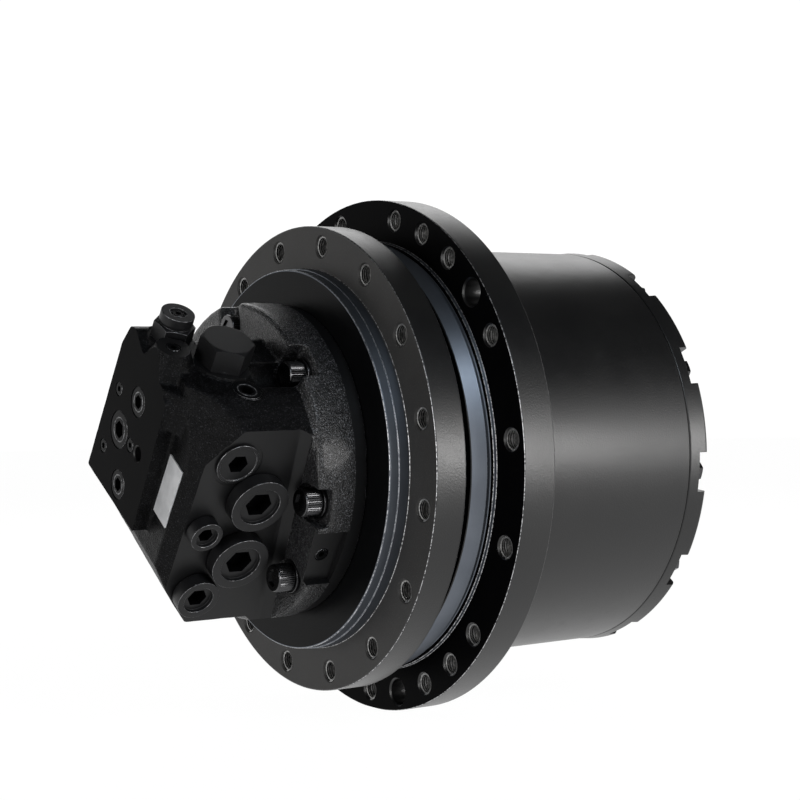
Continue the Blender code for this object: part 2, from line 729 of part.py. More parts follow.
def make_cover():
    """The end cover with its spigot, raised pads and notches, one body with its bolts and oil plugs."""
    joint = COVER_JOINT + FIT
    spigot_r = RING_RELIEF_R - FIT
    spigot_x = joint - COVER_SPIGOT_LENGTH
    face = joint + COVER_PLATE_T
    top = joint + COVER_RIM_T
    outline = [
        (joint + BUTTON_SEAT, 0.0),
        (joint + BUTTON_SEAT, hole_radius(BUTTON_R + FIT, SIDES_LARGE)),
        (joint, hole_radius(BUTTON_R + FIT, SIDES_LARGE)),
        (joint, spigot_r - COVER_SPIGOT_WALL),
        (spigot_x, spigot_r - COVER_SPIGOT_WALL + 0.003),
        (spigot_x, spigot_r),
        (joint, spigot_r),
        (joint, BARREL_R),
        (top - 0.003, BARREL_R + 0.0015),
        (top, BARREL_R - 0.0015),
        (top, BARREL_R - COVER_RIM_WIDTH),
        (face, BARREL_R - COVER_RIM_WIDTH - 0.006),
        (face, 0.0),
    ]
    bm = bmesh.new()
    turned(bm, outline, SIDES_LARGE)
    cover = finish(bm, "cover", LOOKS["hub"])
    bm = bmesh.new()
    floor = joint + COVER_NOTCH_FLOOR_T
    for angle in around(COVER_BOLTS, COVER_BOLT_FIRST):
        ends = [math.pi / 2 + math.pi * k / 3 for k in range(4)]
        arc = [(COVER_NOTCH_R * math.cos(a), COVER_NOTCH_R * math.sin(a)) for a in ends]
        slot = [(0.03, -COVER_NOTCH_R), (0.03, COVER_NOTCH_R)] + arc
        spin = Matrix.Rotation(angle, 2)
        at = Vector(polar(COVER_BOLT_CIRCLE_R, angle))
        plate(bm, [[tuple(at + spin @ Vector(p)) for p in slot]], floor, top + 0.02)
    boolean(cover, "DIFFERENCE", cutter(bm, "cover_notches"))
    bm = bmesh.new()
    for angle in around(COVER_BOLTS, COVER_BOLT_FIRST):
        head = circle(COVER_BOLT_HEAD_R, HEX, polar(COVER_BOLT_CIRCLE_R, angle), angle)
        plate(bm, [head], floor - 0.003, floor + COVER_BOLT_HEAD_T)
    for angle in COVER_PLUG_ANGLES:
        at = polar(COVER_PLUG_CIRCLE_R, math.radians(angle))
        outline = [
            (face - 0.004, 0),
            (face - 0.004, COVER_PLUG_R),
            (face + COVER_PLUG_PROUD, COVER_PLUG_R),
            (face + COVER_PLUG_PROUD, 0),
        ]
        turned(bm, outline, SIDES_SMALL, at)
    return boolean(cover, "UNION", cutter(bm, "cover_bolts_and_plugs"))


def make_thrust_button():
    """The wear button that keeps the input sun in place."""
    bm = bmesh.new()
    end = COVER_JOINT + FIT + BUTTON_SEAT - FIT
    outline = [
        (SUN_END_X + RUN, 0),
        (SUN_END_X + RUN, BUTTON_R - 0.003),
        (SUN_END_X + RUN + 0.003, BUTTON_R),
        (end, BUTTON_R),
        (end, 0),
    ]
    turned(bm, outline, SIDES_SMALL)
    finish(bm, "thrust_button", LOOKS["bronze"])


def make_seals():
    """The floating seal: two steel rings, face to face, each on its own rubber ring."""
    middle = (MOUNT_FLANGE_T + HUB_FRONT) / 2
    bore_r = hole_radius(SEAL_BORE_R, SIDES_MEDIUM)
    depth = SEAL_GAP / 2 + SEAL_POCKET_DEPTH
    for side, part in ((-1, "fixed"), (1, "hub")):
        near = middle + side * RUN / 2
        lip = middle + side * SEAL_LIP_T
        far = middle + side * (depth - FIT)
        outline = [
            (near, bore_r),
            (near, SEAL_LIP_R),
            (lip, SEAL_LIP_R),
            (lip + side * 0.001, SEAL_BODY_R),
            (far, SEAL_BODY_R),
            (far, bore_r),
        ]
        bm = bmesh.new()
        turned(bm, outline, SIDES_MEDIUM)
        finish(bm, "seal_ring_" + part, LOOKS["steel"])
        bm = bmesh.new()
        centre_r = (SEAL_BODY_R + SEAL_POCKET_R) / 2
        torus(bm, centre_r + RUN, SEAL_RUBBER_R, far - side * (SEAL_RUBBER_R + FIT), SIDES_MEDIUM, 6)
        finish(bm, "seal_rubber_" + part, LOOKS["rubber"])


def make_bearings():
    """Two taper roller bearings back to back, with a spacer between the cones."""
    middle = (BEARING_REAR_X + NOSE_END) / 2
    half = ROLLER_LENGTH / 2
    lean = math.tan(ROLLER_TILT)
    for side, part in ((-1, "rear"), (1, "front")):
        centre = middle + side * (BEARING_APART + BEARING_WIDTH) / 2

        def track(along, offset, centre=centre, side=side):
            """A point beside a roller: along grows outwards, offset is the way from the roller's axis."""
            radius = (ROLLER_R_LARGE - ROLLER_R_SMALL) / 2 * along / half
            radius += (ROLLER_R_LARGE + ROLLER_R_SMALL) / 2
            gap = radius / math.cos(ROLLER_TILT) + FIT
            return centre + side * along, ROLLER_CIRCLE_R + along * lean + math.copysign(gap, offset)

        inner_end = centre - side * (BEARING_WIDTH / 2 - FIT)
        outer_end = centre + side * (BEARING_WIDTH / 2 - FIT)
        bore_r = hole_radius(BEARING_BORE_R, SIDES_MEDIUM)
        rib = BEARING_SHOULDER_R + 0.004
        low = track(-half - 0.001, -1)
        high = track(half + 0.0012, -1)
        outline = [
            (inner_end, bore_r),
            (inner_end, low[1]),
            low,
            high,
            (high[0] + side * 0.0002, rib),
            (outer_end, rib),
            (outer_end, bore_r),
        ]
        bm = bmesh.new()
        turned(bm, outline, SIDES_MEDIUM)
        finish(bm, "bearing_cone_" + part, LOOKS["steel"])
        low = track(-half - 0.001, 1)
        high = track(half + 0.001, 1)
        wide = 1 / math.cos(math.pi / SIDES_MEDIUM)
        end_r = min(high[1] * wide, BEARING_OUTER_R - 0.001)
        outline = [
            (inner_end, BEARING_OUTER_R),
            (inner_end, low[1] * wide),
            (low[0], low[1] * wide),
            (high[0], end_r),
            (outer_end, end_r),
            (outer_end, BEARING_OUTER_R),
        ]
        bm = bmesh.new()
        turned(bm, outline, SIDES_MEDIUM)
        finish(bm, "bearing_cup_" + part, LOOKS["steel"])
        bm = bmesh.new()
        rings = []
        for along in (-half, half):
            radius = (ROLLER_R_LARGE + ROLLER_R_SMALL) / 2 + (ROLLER_R_LARGE - ROLLER_R_SMALL) / 2 * along / half
            mid = ROLLER_CIRCLE_R + along * lean
            for way in (1, -1):
                loop = []
                for angle in around(ROLLERS):
                    flat = radius * math.sin(math.pi / HEX)
                    for out, beside in ((CAGE_T / 2, -radius), (radius, -flat), (radius, flat),
                                        (CAGE_T / 2, radius)):
                        loop.append(polar(mid + way * out, angle + beside / mid))
                rings.append([bm.verts.new((centre + side * along, y, z)) for y, z in loop])
        outer_a, inner_a, outer_b, inner_b = rings
        for near, far in ((outer_a, outer_b), (outer_b, inner_b), (inner_b, inner_a), (inner_a, outer_a)):
            for k in range(len(near)):
                bm.faces.new((near[k - 1], near[k], far[k], far[k - 1]))
        finish(bm, "bearing_rollers_" + part, LOOKS["steel"])
    bm = bmesh.new()
    start = BEARING_REAR_X + BEARING_WIDTH
    ring(bm, BEARING_BORE_R, SPACER_R, start, start + BEARING_APART, SIDES_MEDIUM)
    finish(bm, "bearing_spacer", LOOKS["steel"])


def make_output_stage():
    """Fixed carrier on the spindle's nose, one body with its pins and bolts, and its four planets."""
    x0 = OUTPUT_CARRIER_X
    x1 = x0 + OUTPUT_CARRIER_T
    places = around(OUTPUT_PLANETS)
    bm = bmesh.new()
    passage = hole_radius(SHAFT_PASSAGE_R, SIDES_SMALL)
    plate(bm, [circle(OUTPUT_CARRIER_R, SIDES_LARGE), circle(passage, SIDES_SMALL)], x0, x1)
    carrier = finish(bm, "output_carrier", LOOKS["steel"])
    bm = bmesh.new()
    sockets = bmesh.new()
    for angle in carrier_bolt_angles():
        at = polar(CARRIER_BOLT_CIRCLE_R, angle)
        plate(bm, [circle(CARRIER_BOLT_R, HEX, at)], x0 - CARRIER_BOLT_REACH, x0 + 0.003)
        plate(sockets, [circle(CARRIER_BOLT_SOCKET_R, HEX, at)], x1 - 0.006, x1 + 0.01)
    stage_pins(bm, places, OUTPUT_CENTRES, OUTPUT_PIN_R, x1 - 0.003, OUTPUT_HEAD_X)
    boolean(carrier, "UNION", cutter(bm, "output_pins_and_bolts"))
    boolean(carrier, "DIFFERENCE", cutter(sockets, "carrier_bolt_sockets"))
    for number, angle in enumerate(places, 1):
        planet("output_planet_%d" % number, OUTPUT_PLANET_TEETH, OUTPUT_CENTRES, angle,
               OUTPUT_PIN_R, OUTPUT_GEAR_X, OUTPUT_GEAR_WIDTH)


def stage_pins(bm, places, centres, pin_r, start, head_x):
    """Planet pins with their retaining heads."""
    for angle in places:
        outline = [
            (start, 0),
            (start, pin_r),
            (head_x, pin_r),
            (head_x, pin_r + PIN_HEAD_WIDER),
            (head_x + PIN_HEAD_T, pin_r + PIN_HEAD_WIDER),
            (head_x + PIN_HEAD_T, 0),
        ]
        turned(bm, outline, SIDES_SMALL, polar(centres, angle))


def planet(name, teeth, centres, angle, pin_r, start, width):
    """A planet gear in mesh at its place, with its origin on its own axis."""
    bore_r = hole_radius(pin_r + RUN, SIDES_SMALL)
    bm = bmesh.new()
    plate(bm, [gear_loop(teeth, planet_phase(angle, teeth)), circle(bore_r, SIDES_SMALL)], 0, width)
    made = finish(bm, name, LOOKS["gear"])
    made.location = (start, *polar(centres, angle))
    return made


def make_input_stage():
    """Input carrier splined on the output sun, one body with its pins, and its three planets."""
    x0 = INPUT_CARRIER_X
    x1 = x0 + INPUT_CARRIER_T
    places = around(INPUT_PLANETS)
    spline = circle(hole_radius(SUN_HUB_R + FIT, SIDES_SMALL), SIDES_SMALL)
    loops = [circle(INPUT_CARRIER_R, SIDES_MEDIUM), spline]
    bm = bmesh.new()
    plate(bm, loops, x0, x1)
    carrier = finish(bm, "input_carrier", LOOKS["steel"])
    bm = bmesh.new()
    stage_pins(bm, places, INPUT_CENTRES, INPUT_PIN_R, x1 - 0.003, INPUT_HEAD_X)
    boolean(carrier, "UNION", cutter(bm, "input_pins"))
    for number, angle in enumerate(places, 1):
        planet("input_planet_%d" % number, INPUT_PLANET_TEETH, INPUT_CENTRES, angle,
               INPUT_PIN_R, INPUT_GEAR_X, INPUT_GEAR_WIDTH)
    bm = bmesh.new()
    sun_bore = circle(hole_radius(SUN_BORE_R, SIDES_SMALL), SIDES_SMALL)
    phase = sun_phase(0.0, OUTPUT_PLANET_TEETH, OUTPUT_SUN_TEETH)
    plate(bm, [gear_loop(OUTPUT_SUN_TEETH, phase), sun_bore], OUTPUT_GEAR_X, OUTPUT_GEAR_X + OUTPUT_GEAR_WIDTH)
    sun = finish(bm, "output_sun", LOOKS["gear"])
    bm = bmesh.new()
    inner = hole_radius(SUN_BORE_R, SIDES_SMALL)
    turned(bm, [(OUTPUT_HEAD_X - 0.003, inner + 0.001), (x1, inner + 0.001), (x1, SUN_HUB_R),
                (OUTPUT_HEAD_X - 0.003, SUN_HUB_R)], SIDES_SMALL)
    boolean(sun, "UNION", cutter(bm, "output_sun_hub"))


def make_rotor():
    """Everything that turns with the motor shaft, with the input sun."""
    socket = hole_radius(SUN_SHAFT_R + FIT, SIDES_SMALL)
    shaft_end = NOSE_END - END_PLAY
    bm = bmesh.new()
    outline = [
        (SHAFT_REAR_X, 0),
        (SHAFT_REAR_X, SHAFT_JOURNAL_R - 0.001),
        (SHAFT_REAR_X + 0.001, SHAFT_JOURNAL_R),
        (PILOT_FRONT - 0.001, SHAFT_JOURNAL_R),
        (PILOT_FRONT + 0.002, SHAFT_R),
        (shaft_end, SHAFT_R),
        (shaft_end, socket),
        (shaft_end - SHAFT_SOCKET_DEPTH, socket),
        (shaft_end - SHAFT_SOCKET_DEPTH, 0),
    ]
    turned(bm, outline, SIDES_SMALL)
    finish(bm, "drive_shaft", LOOKS["steel"])

    bm = bmesh.new()
    phase = sun_phase(0.0, INPUT_PLANET_TEETH, INPUT_SUN_TEETH)
    plate(bm, [gear_loop(INPUT_SUN_TEETH, phase)], INPUT_GEAR_X, SUN_END_X)
    sun = finish(bm, "input_sun", LOOKS["gear"])
    bm = bmesh.new()
    start = shaft_end - SHAFT_SOCKET_DEPTH + FIT
    plate(bm, [circle(SUN_SHAFT_R, SIDES_SMALL)], start, INPUT_GEAR_X + 0.005)
    boolean(sun, "UNION", cutter(bm, "input_sun_shaft"))

    bm = bmesh.new()
    inner = hole_radius(SHAFT_R + FIT, SIDES_MEDIUM)
    block_end = CYLINDER_BLOCK_END
    turned(bm, [(CYLINDER_BLOCK_X, inner), (block_end, inner), (block_end, BLOCK_R - 0.001),
                (block_end - 0.001, BLOCK_R), (CYLINDER_BLOCK_X, BLOCK_R)], SIDES_MEDIUM)
    block = finish(bm, "cylinder_block", LOOKS["steel"])
    bm = bmesh.new()
    for angle in around(PISTONS):
        at = polar(PISTON_CIRCLE_R, angle)
        cylinder = hole_radius(PISTON_R + FIT, SIDES_PISTON)
        port_x = CYLINDER_BLOCK_X + PISTON_PORT_DEPTH
        outline = [
            (CYLINDER_BLOCK_X - 0.005, 0),
            (CYLINDER_BLOCK_X - 0.005, PISTON_PORT_R),
            (port_x, PISTON_PORT_R),
            (port_x, cylinder),
            (block_end + 0.005, cylinder),
            (block_end + 0.005, 0),
        ]
        turned(bm, outline, SIDES_PISTON, at)
    boolean(block, "DIFFERENCE", cutter(bm, "cylinder_bores"))

    bm = bmesh.new()
    retainer_end = SHOE_X - FIT
    loops = [circle(RETAINER_R, SIDES_MEDIUM), circle(hole_radius(SWASH_BORE_R, SIDES_SMALL), SIDES_SMALL)]
    plate(bm, loops, retainer_end - RETAINER_T, retainer_end)
    retainer = finish(bm, "piston_set", LOOKS["bronze"])
    bm = bmesh.new()
    for angle in around(PISTONS):
        outline = [
            (PISTON_END - PISTON_LENGTH, 0),
            (PISTON_END - PISTON_LENGTH, PISTON_R),
            (PISTON_END - 0.004, PISTON_R),
            (PISTON_END, SHOE_NECK_R),
            (retainer_end - 0.001, SHOE_NECK_R),
            (retainer_end - 0.001, SHOE_R),
            (SHOE_X + SHOE_T, SHOE_R),
            (SHOE_X + SHOE_T, 0),
        ]
        turned(bm, outline, SIDES_PISTON, polar(PISTON_CIRCLE_R, angle))
    boolean(retainer, "UNION", cutter(bm, "pistons_and_shoes"))


def kidney(side):
    """A curved port of the valve plate, on one side of the drive axis."""
    steps = [KIDNEY_HALF_ANGLE * (k / 4 - 1) for k in range(9)]
    outer = [polar(PISTON_CIRCLE_R + KIDNEY_HALF_WIDTH, side + a) for a in steps]
    inner = [polar(PISTON_CIRCLE_R - KIDNEY_HALF_WIDTH, side + a) for a in reversed(steps)]
    return outer + inner


def make_motor_fixed_pieces():
    """Valve plate, swash plate, shaft bearings, shaft seal and port block seal."""
    bm = bmesh.new()
    start = PILOT_FRONT + VALVE_PLATE_BOSS
    loops = [circle(BLOCK_R, SIDES_MEDIUM), circle(hole_radius(SHAFT_R + RUN, SIDES_SMALL), SIDES_SMALL)]
    loops += [kidney(0.0), kidney(math.pi)]
    plate(bm, loops, start, start + VALVE_PLATE_T)
    finish(bm, "valve_plate", LOOKS["bronze"])

    bm = bmesh.new()
    inner = hole_radius(SWASH_BORE_R, SIDES_MEDIUM)
    turned(bm, [(SWASH_X, inner), (SWASH_X, BLOCK_R), (SWASH_X + 0.009, BLOCK_R),
                (SWASH_X + SWASH_T, BLOCK_R - 0.012), (SWASH_X + SWASH_T, inner)], SIDES_MEDIUM)
    finish(bm, "swash_plate", LOOKS["steel"])

    bm = bmesh.new()
    start = PILOT_FRONT - FIT - SHAFT_BEARING_REAR_WIDTH
    ring(bm, SHAFT_JOURNAL_R + RUN, SHAFT_BEARING_REAR_R, start, PILOT_FRONT - 0.002, SIDES_SMALL)
    finish(bm, "shaft_bearing_rear", LOOKS["steel"])
    bm = bmesh.new()
    seat_r = SHAFT_SEAT_R - FIT
    start = CAVITY_DEPTH + FIT
    end = start + SHAFT_BEARING_FRONT_WIDTH
    ring(bm, SHAFT_R + RUN, seat_r, start, end, SIDES_MEDIUM)
    finish(bm, "shaft_bearing_front", LOOKS["steel"])
    bm = bmesh.new()
    seal_end = NOSE_END - SHAFT_SEAT_DEPTH + SHAFT_BEARING_FRONT_WIDTH
    ring(bm, SHAFT_R + RUN, seat_r, end + FIT, seal_end, SIDES_MEDIUM)
    finish(bm, "shaft_seal", LOOKS["rubber"])

    bm = bmesh.new()
    torus(bm, PB_SEAL_CIRCLE_R + FIT, PB_SEAL_R, PILOT_FRONT - 2 * FIT - PB_SEAL_R, SIDES_LARGE, 4)
    finish(bm, "port_block_seal", LOOKS["rubber"], BLOCK_TURN)


def make_brake():
    """Parking brake: plates packed against the spindle's shoulder, piston and disc spring."""
    x = BRAKE_SHOULDER_X - FIT
    for number in range(1, FRICTION_PLATES + 1):
        bm = bmesh.new()
        ring(bm, BLOCK_R + FIT, FRICTION_R, x - FRICTION_T, x, SIDES_MEDIUM)
        finish(bm, "friction_plate_%d" % number, LOOKS["bronze"])
        x -= FRICTION_T + FIT
        bm = bmesh.new()
        ring(bm, SEPARATOR_BORE_R, CAVITY_R - FIT, x - SEPARATOR_T, x, SIDES_MEDIUM)
        finish(bm, "separator_plate_%d" % number, LOOKS["steel"])
        x -= SEPARATOR_T + FIT
    start = x - BRAKE_PISTON_LENGTH
    outer = CAVITY_R - FIT
    inner = hole_radius(BRAKE_PISTON_BORE_R, SIDES_MEDIUM)
    bm = bmesh.new()
    outline = [
        (start, inner),
        (x, inner),
        (x, outer - BRAKE_PISTON_STEP),
        (x - BRAKE_PISTON_STEP, outer),
        (start, outer),
    ]
    turned(bm, outline, SIDES_MEDIUM)
    finish(bm, "brake_piston", LOOKS["steel"])
    seat = PILOT_FRONT
    tip = seat + BRAKE_SPRING_CONE
    bm = bmesh.new()
    outline = [
        (seat, outer - 0.004),
        (tip, inner + 0.003),
        (tip + BRAKE_SPRING_T, inner + 0.003),
        (seat + BRAKE_SPRING_T, outer - 0.004),
    ]
    turned(bm, outline, SIDES_MEDIUM)
    finish(bm, "brake_spring", LOOKS["steel"])


def block_prism(bm, outline, x0, x1):
    """A solid along X whose outline is given as (towards the port side, up) in the block's frame."""
    plate(bm, [[(-toward, up) for toward, up in outline]], x0, x1)


def side_prism(bm, outline, toward0, toward1):
    """A solid across the block whose outline is given as (x, up)."""
    swap = Matrix(((0, 1, 0, 0), (1, 0, 0, 0), (0, 0, 1, 0), (0, 0, 0, 1)))
    plate(bm, [outline], -toward0, -toward1, place=swap)


def upright(bm, outline, at):
    """Spin a (height, r) outline about an upright line of the block at (x, toward)."""
    place = facing((at[0], -at[1], 0), UP_WAY)
    turned(bm, outline, SIDES_SMALL, place=place)


def bore(bm, start, direction, radius, depth, sides=SIDES_SMALL, above=0.02):
    """A round cutter that starts above a face and goes in to its depth."""
    r = hole_radius(radius, sides)
    outline = [(-above, 0), (-above, r), (depth, r), (depth, 0)]
    turned(bm, outline, sides, place=facing(start, direction))


def on_port_face(at, proud=0.0):
    """A point on the port face, or in front of it."""
    return (at[0], -(PORT_FACE + proud), at[1])


def on_end_face(at, proud=0.0):
    """A point on the end face, or in front of it."""
    return (END_X - proud, -at[0], at[1])


def port_plugs():
    """Each port face plug: where it stands, its radius, height, recess radius and recess depth."""
    main = (MAIN_PORT_R, MAIN_PORT_PROUD, MAIN_PORT_R * 0.69, 0.0035)
    drain = (DRAIN_R, DRAIN_PROUD, DRAIN_R * 0.66, 0.003)
    flush = (DRAIN_R, DRAIN_UPPER_PROUD, None, None)
    pilot = (PILOT_PORT_R, PILOT_PORT_PROUD, PILOT_PORT_R * 0.66, 0.0025)
    return [
        ("main_port_plug_upper", (MAIN_PORT_X, MAIN_PORT_MID + MAIN_PORT_APART / 2), *main),
        ("main_port_plug_lower", (MAIN_PORT_X, MAIN_PORT_MID - MAIN_PORT_APART / 2), *main),
        ("drain_plug_upper", DRAIN_UPPER, *flush),
        ("drain_plug_lower", DRAIN_LOWER, *drain),
        ("pilot_plug", PILOT_PORT, *pilot),
    ]


def make_port_block():
    """The rough-cast rear block: round flange, port body, label step and end boss, with its bores."""
    face = PILOT_FRONT - FIT
    band_end = PILOT_FRONT - PB_BAND_LENGTH
    seat = hole_radius(SHAFT_BEARING_REAR_R + FIT, SIDES_LARGE)
    bearing_x = face - SHAFT_BEARING_REAR_WIDTH - FIT
    boss_x = PILOT_FRONT + VALVE_PLATE_BOSS - FIT
    groove_in = PB_SEAL_CIRCLE_R - PB_SEAL_R - 2 * FIT
    groove_out = PB_SEAL_CIRCLE_R + PB_SEAL_R + 2 * FIT
    groove_x = face - 2 * PB_SEAL_R - 2 * FIT
    shaft_hole = hole_radius(SHAFT_R + RUN, SIDES_LARGE)
    journal_hole = hole_radius(SHAFT_JOURNAL_R + RUN, SIDES_LARGE)
    end_hole = SHAFT_REAR_X - END_PLAY
    outline = [
        (end_hole, 0),
        (end_hole, journal_hole),
        (bearing_x, journal_hole),
        (bearing_x, seat),
        (PILOT_FRONT - 0.0012, seat),
        (PILOT_FRONT - 0.0012, shaft_hole),
        (boss_x, shaft_hole),
        (boss_x, VALVE_BOSS_R),
        (face, VALVE_BOSS_R),
        (face, groove_in),
        (groove_x, groove_in),
        (groove_x, groove_out),
        (face, groove_out),
        (face, PB_BAND_R),
        (band_end, PB_BAND_R),
        (band_end, PB_FLANGE_R),
        (PB_FLANGE_FRONT + PB_BEVEL_EDGE, PB_FLANGE_R),
        (PB_FLANGE_FRONT, PB_FLANGE_R - PB_BEVEL_EDGE),
        (PB_FLANGE_FRONT, 0),
    ]
    bm = bmesh.new()
    turned(bm, outline, SIDES_LARGE)
    block = finish(bm, "port_block", LOOKS["rough"], BLOCK_TURN)

    bm = bmesh.new()
    block_prism(bm, BODY_SECTION, LABEL_X, PB_FLANGE_FRONT + 0.012)
    body = cutter(bm, "port_body", BLOCK_TURN)
    bm = bmesh.new()
    side_prism(bm, BODY_SIDE_VIEW, 0.09, -0.08)
    boolean(body, "INTERSECT", cutter(bm, "port_body_side_view", BLOCK_TURN))
    bm = bmesh.new()
    over = LABEL_BEVEL + 0.01
    wedge = [(LABEL_X - 0.01, PORT_FACE + 0.01), (LABEL_X - 0.01, PORT_FACE - over)]
    wedge.append((LABEL_X + over, PORT_FACE + 0.01))
    prism_across(bm, wedge)
    boolean(body, "DIFFERENCE", cutter(bm, "label_bevel", BLOCK_TURN))
    bm = bmesh.new()
    half_space(bm, *CORNER_PLANE)
    boolean(body, "DIFFERENCE", cutter(bm, "port_corner", BLOCK_TURN))
    added = [body]

    bm = bmesh.new()
    prism_across(bm, [
        (PB_FLANGE_FRONT + 0.004, PORT_FACE - 0.004),
        (PB_FLANGE_FRONT + 0.004, PORT_FACE + PORT_STEP),
        (PB_FLANGE_FRONT - 0.002, PORT_FACE + PORT_STEP),
        (PB_FLANGE_FRONT - 0.0125, PORT_FACE - 0.004),
    ], 0.085)
    added.append(cutter(bm, "port_root", BLOCK_TURN))
    bm = bmesh.new()
    block_prism(bm, END_SECTION, END_X, LABEL_X + 0.006)
    added.append(cutter(bm, "end_boss", BLOCK_TURN))

    bm = bmesh.new()
    seat_r = CAP_ACROSS_FLATS / 2 * HEX_CORNER + 0.002
    upright(bm, [(0.08, 0), (0.08, seat_r + 0.004), (SEAT_HEIGHT, seat_r), (SEAT_HEIGHT, 0)], SPOOL_AT)
    added.append(cutter(bm, "spool_cap_seat", BLOCK_TURN))
    bm = bmesh.new()
    seat_r = RELIEF_ACROSS_FLATS / 2 * HEX_CORNER + 0.0012
    upright(bm, [(0.07, 0), (0.07, seat_r + 0.003), (SEAT_HEIGHT, seat_r), (SEAT_HEIGHT, 0)], RELIEF_AT)
    added.append(cutter(bm, "relief_seat", BLOCK_TURN))
    bm = bmesh.new()
    upright(bm, [(0.07, 0), (0.07, BOSS_R), (BOSS_PLUG_TOP, BOSS_R - 0.0015), (BOSS_PLUG_TOP, 0)], BOSS_PLUG)
    added.append(cutter(bm, "plug_boss", BLOCK_TURN))

    boolean_all(block, "UNION", "block_added", added)

    removed = []
    bm = bmesh.new()
    side_prism(bm, PORT_FACE_CUT, 0.14, PORT_FACE)
    removed.append(cutter(bm, "port_face_cut", BLOCK_TURN))
    bm = bmesh.new()
    flat = [(SIDE_FLAT, -0.0245), (SIDE_FLAT, 0.0245), (0.13, 0.0245), (0.13, -0.0245)]
    block_prism(bm, flat, PB_FLANGE_FRONT - 0.01, band_end)
    removed.append(cutter(bm, "flange_flat", BLOCK_TURN))

    bm = bmesh.new()
    hole = hole_radius(PB_SCREW_R + FIT, SIDES_SMALL)
    for angle in PB_SCREW_ANGLES:
        outline = [
            (PB_SCREW_SEAT_X - PB_POCKET_LENGTH, 0),
            (PB_SCREW_SEAT_X - PB_POCKET_LENGTH, PB_POCKET_R),
            (PB_SCREW_SEAT_X, PB_POCKET_R),
            (PB_SCREW_SEAT_X, hole),
            (PILOT_FRONT + 0.01, hole),
            (PILOT_FRONT + 0.01, 0),
        ]
        turned(bm, outline, SIDES_SMALL, polar(PB_SCREW_CIRCLE_R, math.pi + math.radians(angle)))
    removed.append(cutter(bm, "screw_pockets", BLOCK_TURN))

    bm = bmesh.new()
    for _, at, radius, _, _, _ in port_plugs():
        bore(bm, on_port_face(at), (0, 1, 0), port_shank(radius) + FIT, PLUG_DEPTH + FIT)
    bore(bm, on_end_face(END_TAPPED), (1, 0, 0), END_TAPPED_R, PLUG_DEPTH, SIDES_HOLE)
    for place, radius in socket_plugs():
        if radius > PLUG_SMALL_R:
            r = hole_radius(radius + PLUG_GROOVE, SIDES_SMALL)
            turned(bm, [(-PLUG_GROOVE, radius), (-PLUG_GROOVE, r), (0.006, r), (0.006, radius)],
                   SIDES_SMALL, place=place)
        plate(bm, [circle(radius * 0.42 * HEX_CORNER, HEX)], -min(0.008, radius), 0.006, place=place)
    removed.append(cutter(bm, "plug_bores", BLOCK_TURN))

    bm = bmesh.new()
    spool_r = hole_radius(SPOOL_R + RUN, SIDES_SMALL)
    cap_r = hole_radius(CAP_SHANK_R + FIT, SIDES_SMALL)
    upright(bm, [(SPOOL_BORE_END, 0), (SPOOL_BORE_END, spool_r), (SEAT_HEIGHT - CAP_SHANK, spool_r),
                 (SEAT_HEIGHT - CAP_SHANK, cap_r), (SEAT_HEIGHT + 0.02, cap_r), (SEAT_HEIGHT + 0.02, 0)],
            SPOOL_AT)
    removed.append(cutter(bm, "spool_bore", BLOCK_TURN))
    bm = bmesh.new()
    relief_r = hole_radius(RELIEF_SHANK_R + FIT, SIDES_SMALL)
    upright(bm, [(SEAT_HEIGHT - RELIEF_SHANK - FIT, 0), (SEAT_HEIGHT - RELIEF_SHANK - FIT, relief_r),
                 (SEAT_HEIGHT + 0.02, relief_r), (SEAT_HEIGHT + 0.02, 0)], RELIEF_AT)
    removed.append(cutter(bm, "relief_bore", BLOCK_TURN))
    return boolean_all(block, "DIFFERENCE", "block_removed", removed)


def prism_across(bm, outline, half=0.15):
    """A solid along the block's upright line whose outline is given as (x, toward)."""
    stand = Matrix(((0, 0, 1, 0), (0, -1, 0, 0), (1, 0, 0, 0), (0, 0, 0, 1)))
    plate(bm, [[(toward, x) for x, toward in outline]], -half, half, place=stand)


def half_space(bm, corner, along, across):
    """A large box whose face passes through three points of the block, beyond the body."""
    a, b, c = (Vector((x, -toward, up)) for x, toward, up in (corner, along, across))
    out = (b - a).cross(c - a).normalized()
    if out.dot(a) < 0:
        out = -out
    side = (b - a).normalized()
    up = out.cross(side)
    middle = (a + b + c) / 3
    place = Matrix.Translation(middle) @ Matrix((out, side, up)).transposed().to_4x4()
    square = [(-0.06, -0.06), (0.06, -0.06), (0.06, 0.06), (-0.06, 0.06)]
    plate(bm, [square], 0, 0.1, place=place)


def port_shank(radius):
    """Thread radius of a port plug under its collar."""
    return radius * 0.74


def socket_plugs():
    """The flush socket plugs, one body with the block: the placing on the surface and the radius."""
    found = [(facing(on_end_face(END_PLUG_LARGE), END_WAY), PLUG_LARGE_R)]
    found += [(facing(on_end_face(at), END_WAY), PLUG_MEDIUM_R) for at in END_PLUGS_MEDIUM]
    found += [(facing(on_end_face(at), END_WAY), PLUG_SMALL_R) for at in END_PLUGS_SMALL]
    found.append((facing((UPPER_PLUG[0], -UPPER_PLUG[1], UPPER_SIDE), UP_WAY), PLUG_MEDIUM_R))
    found.append((facing((BOSS_PLUG[0], -BOSS_PLUG[1], BOSS_PLUG_TOP), UP_WAY), PLUG_SMALL_R))
    found.append((facing((FLAT_PLUG_X, -SIDE_FLAT, 0), PORT_WAY), PLUG_SMALL_R))
    return found


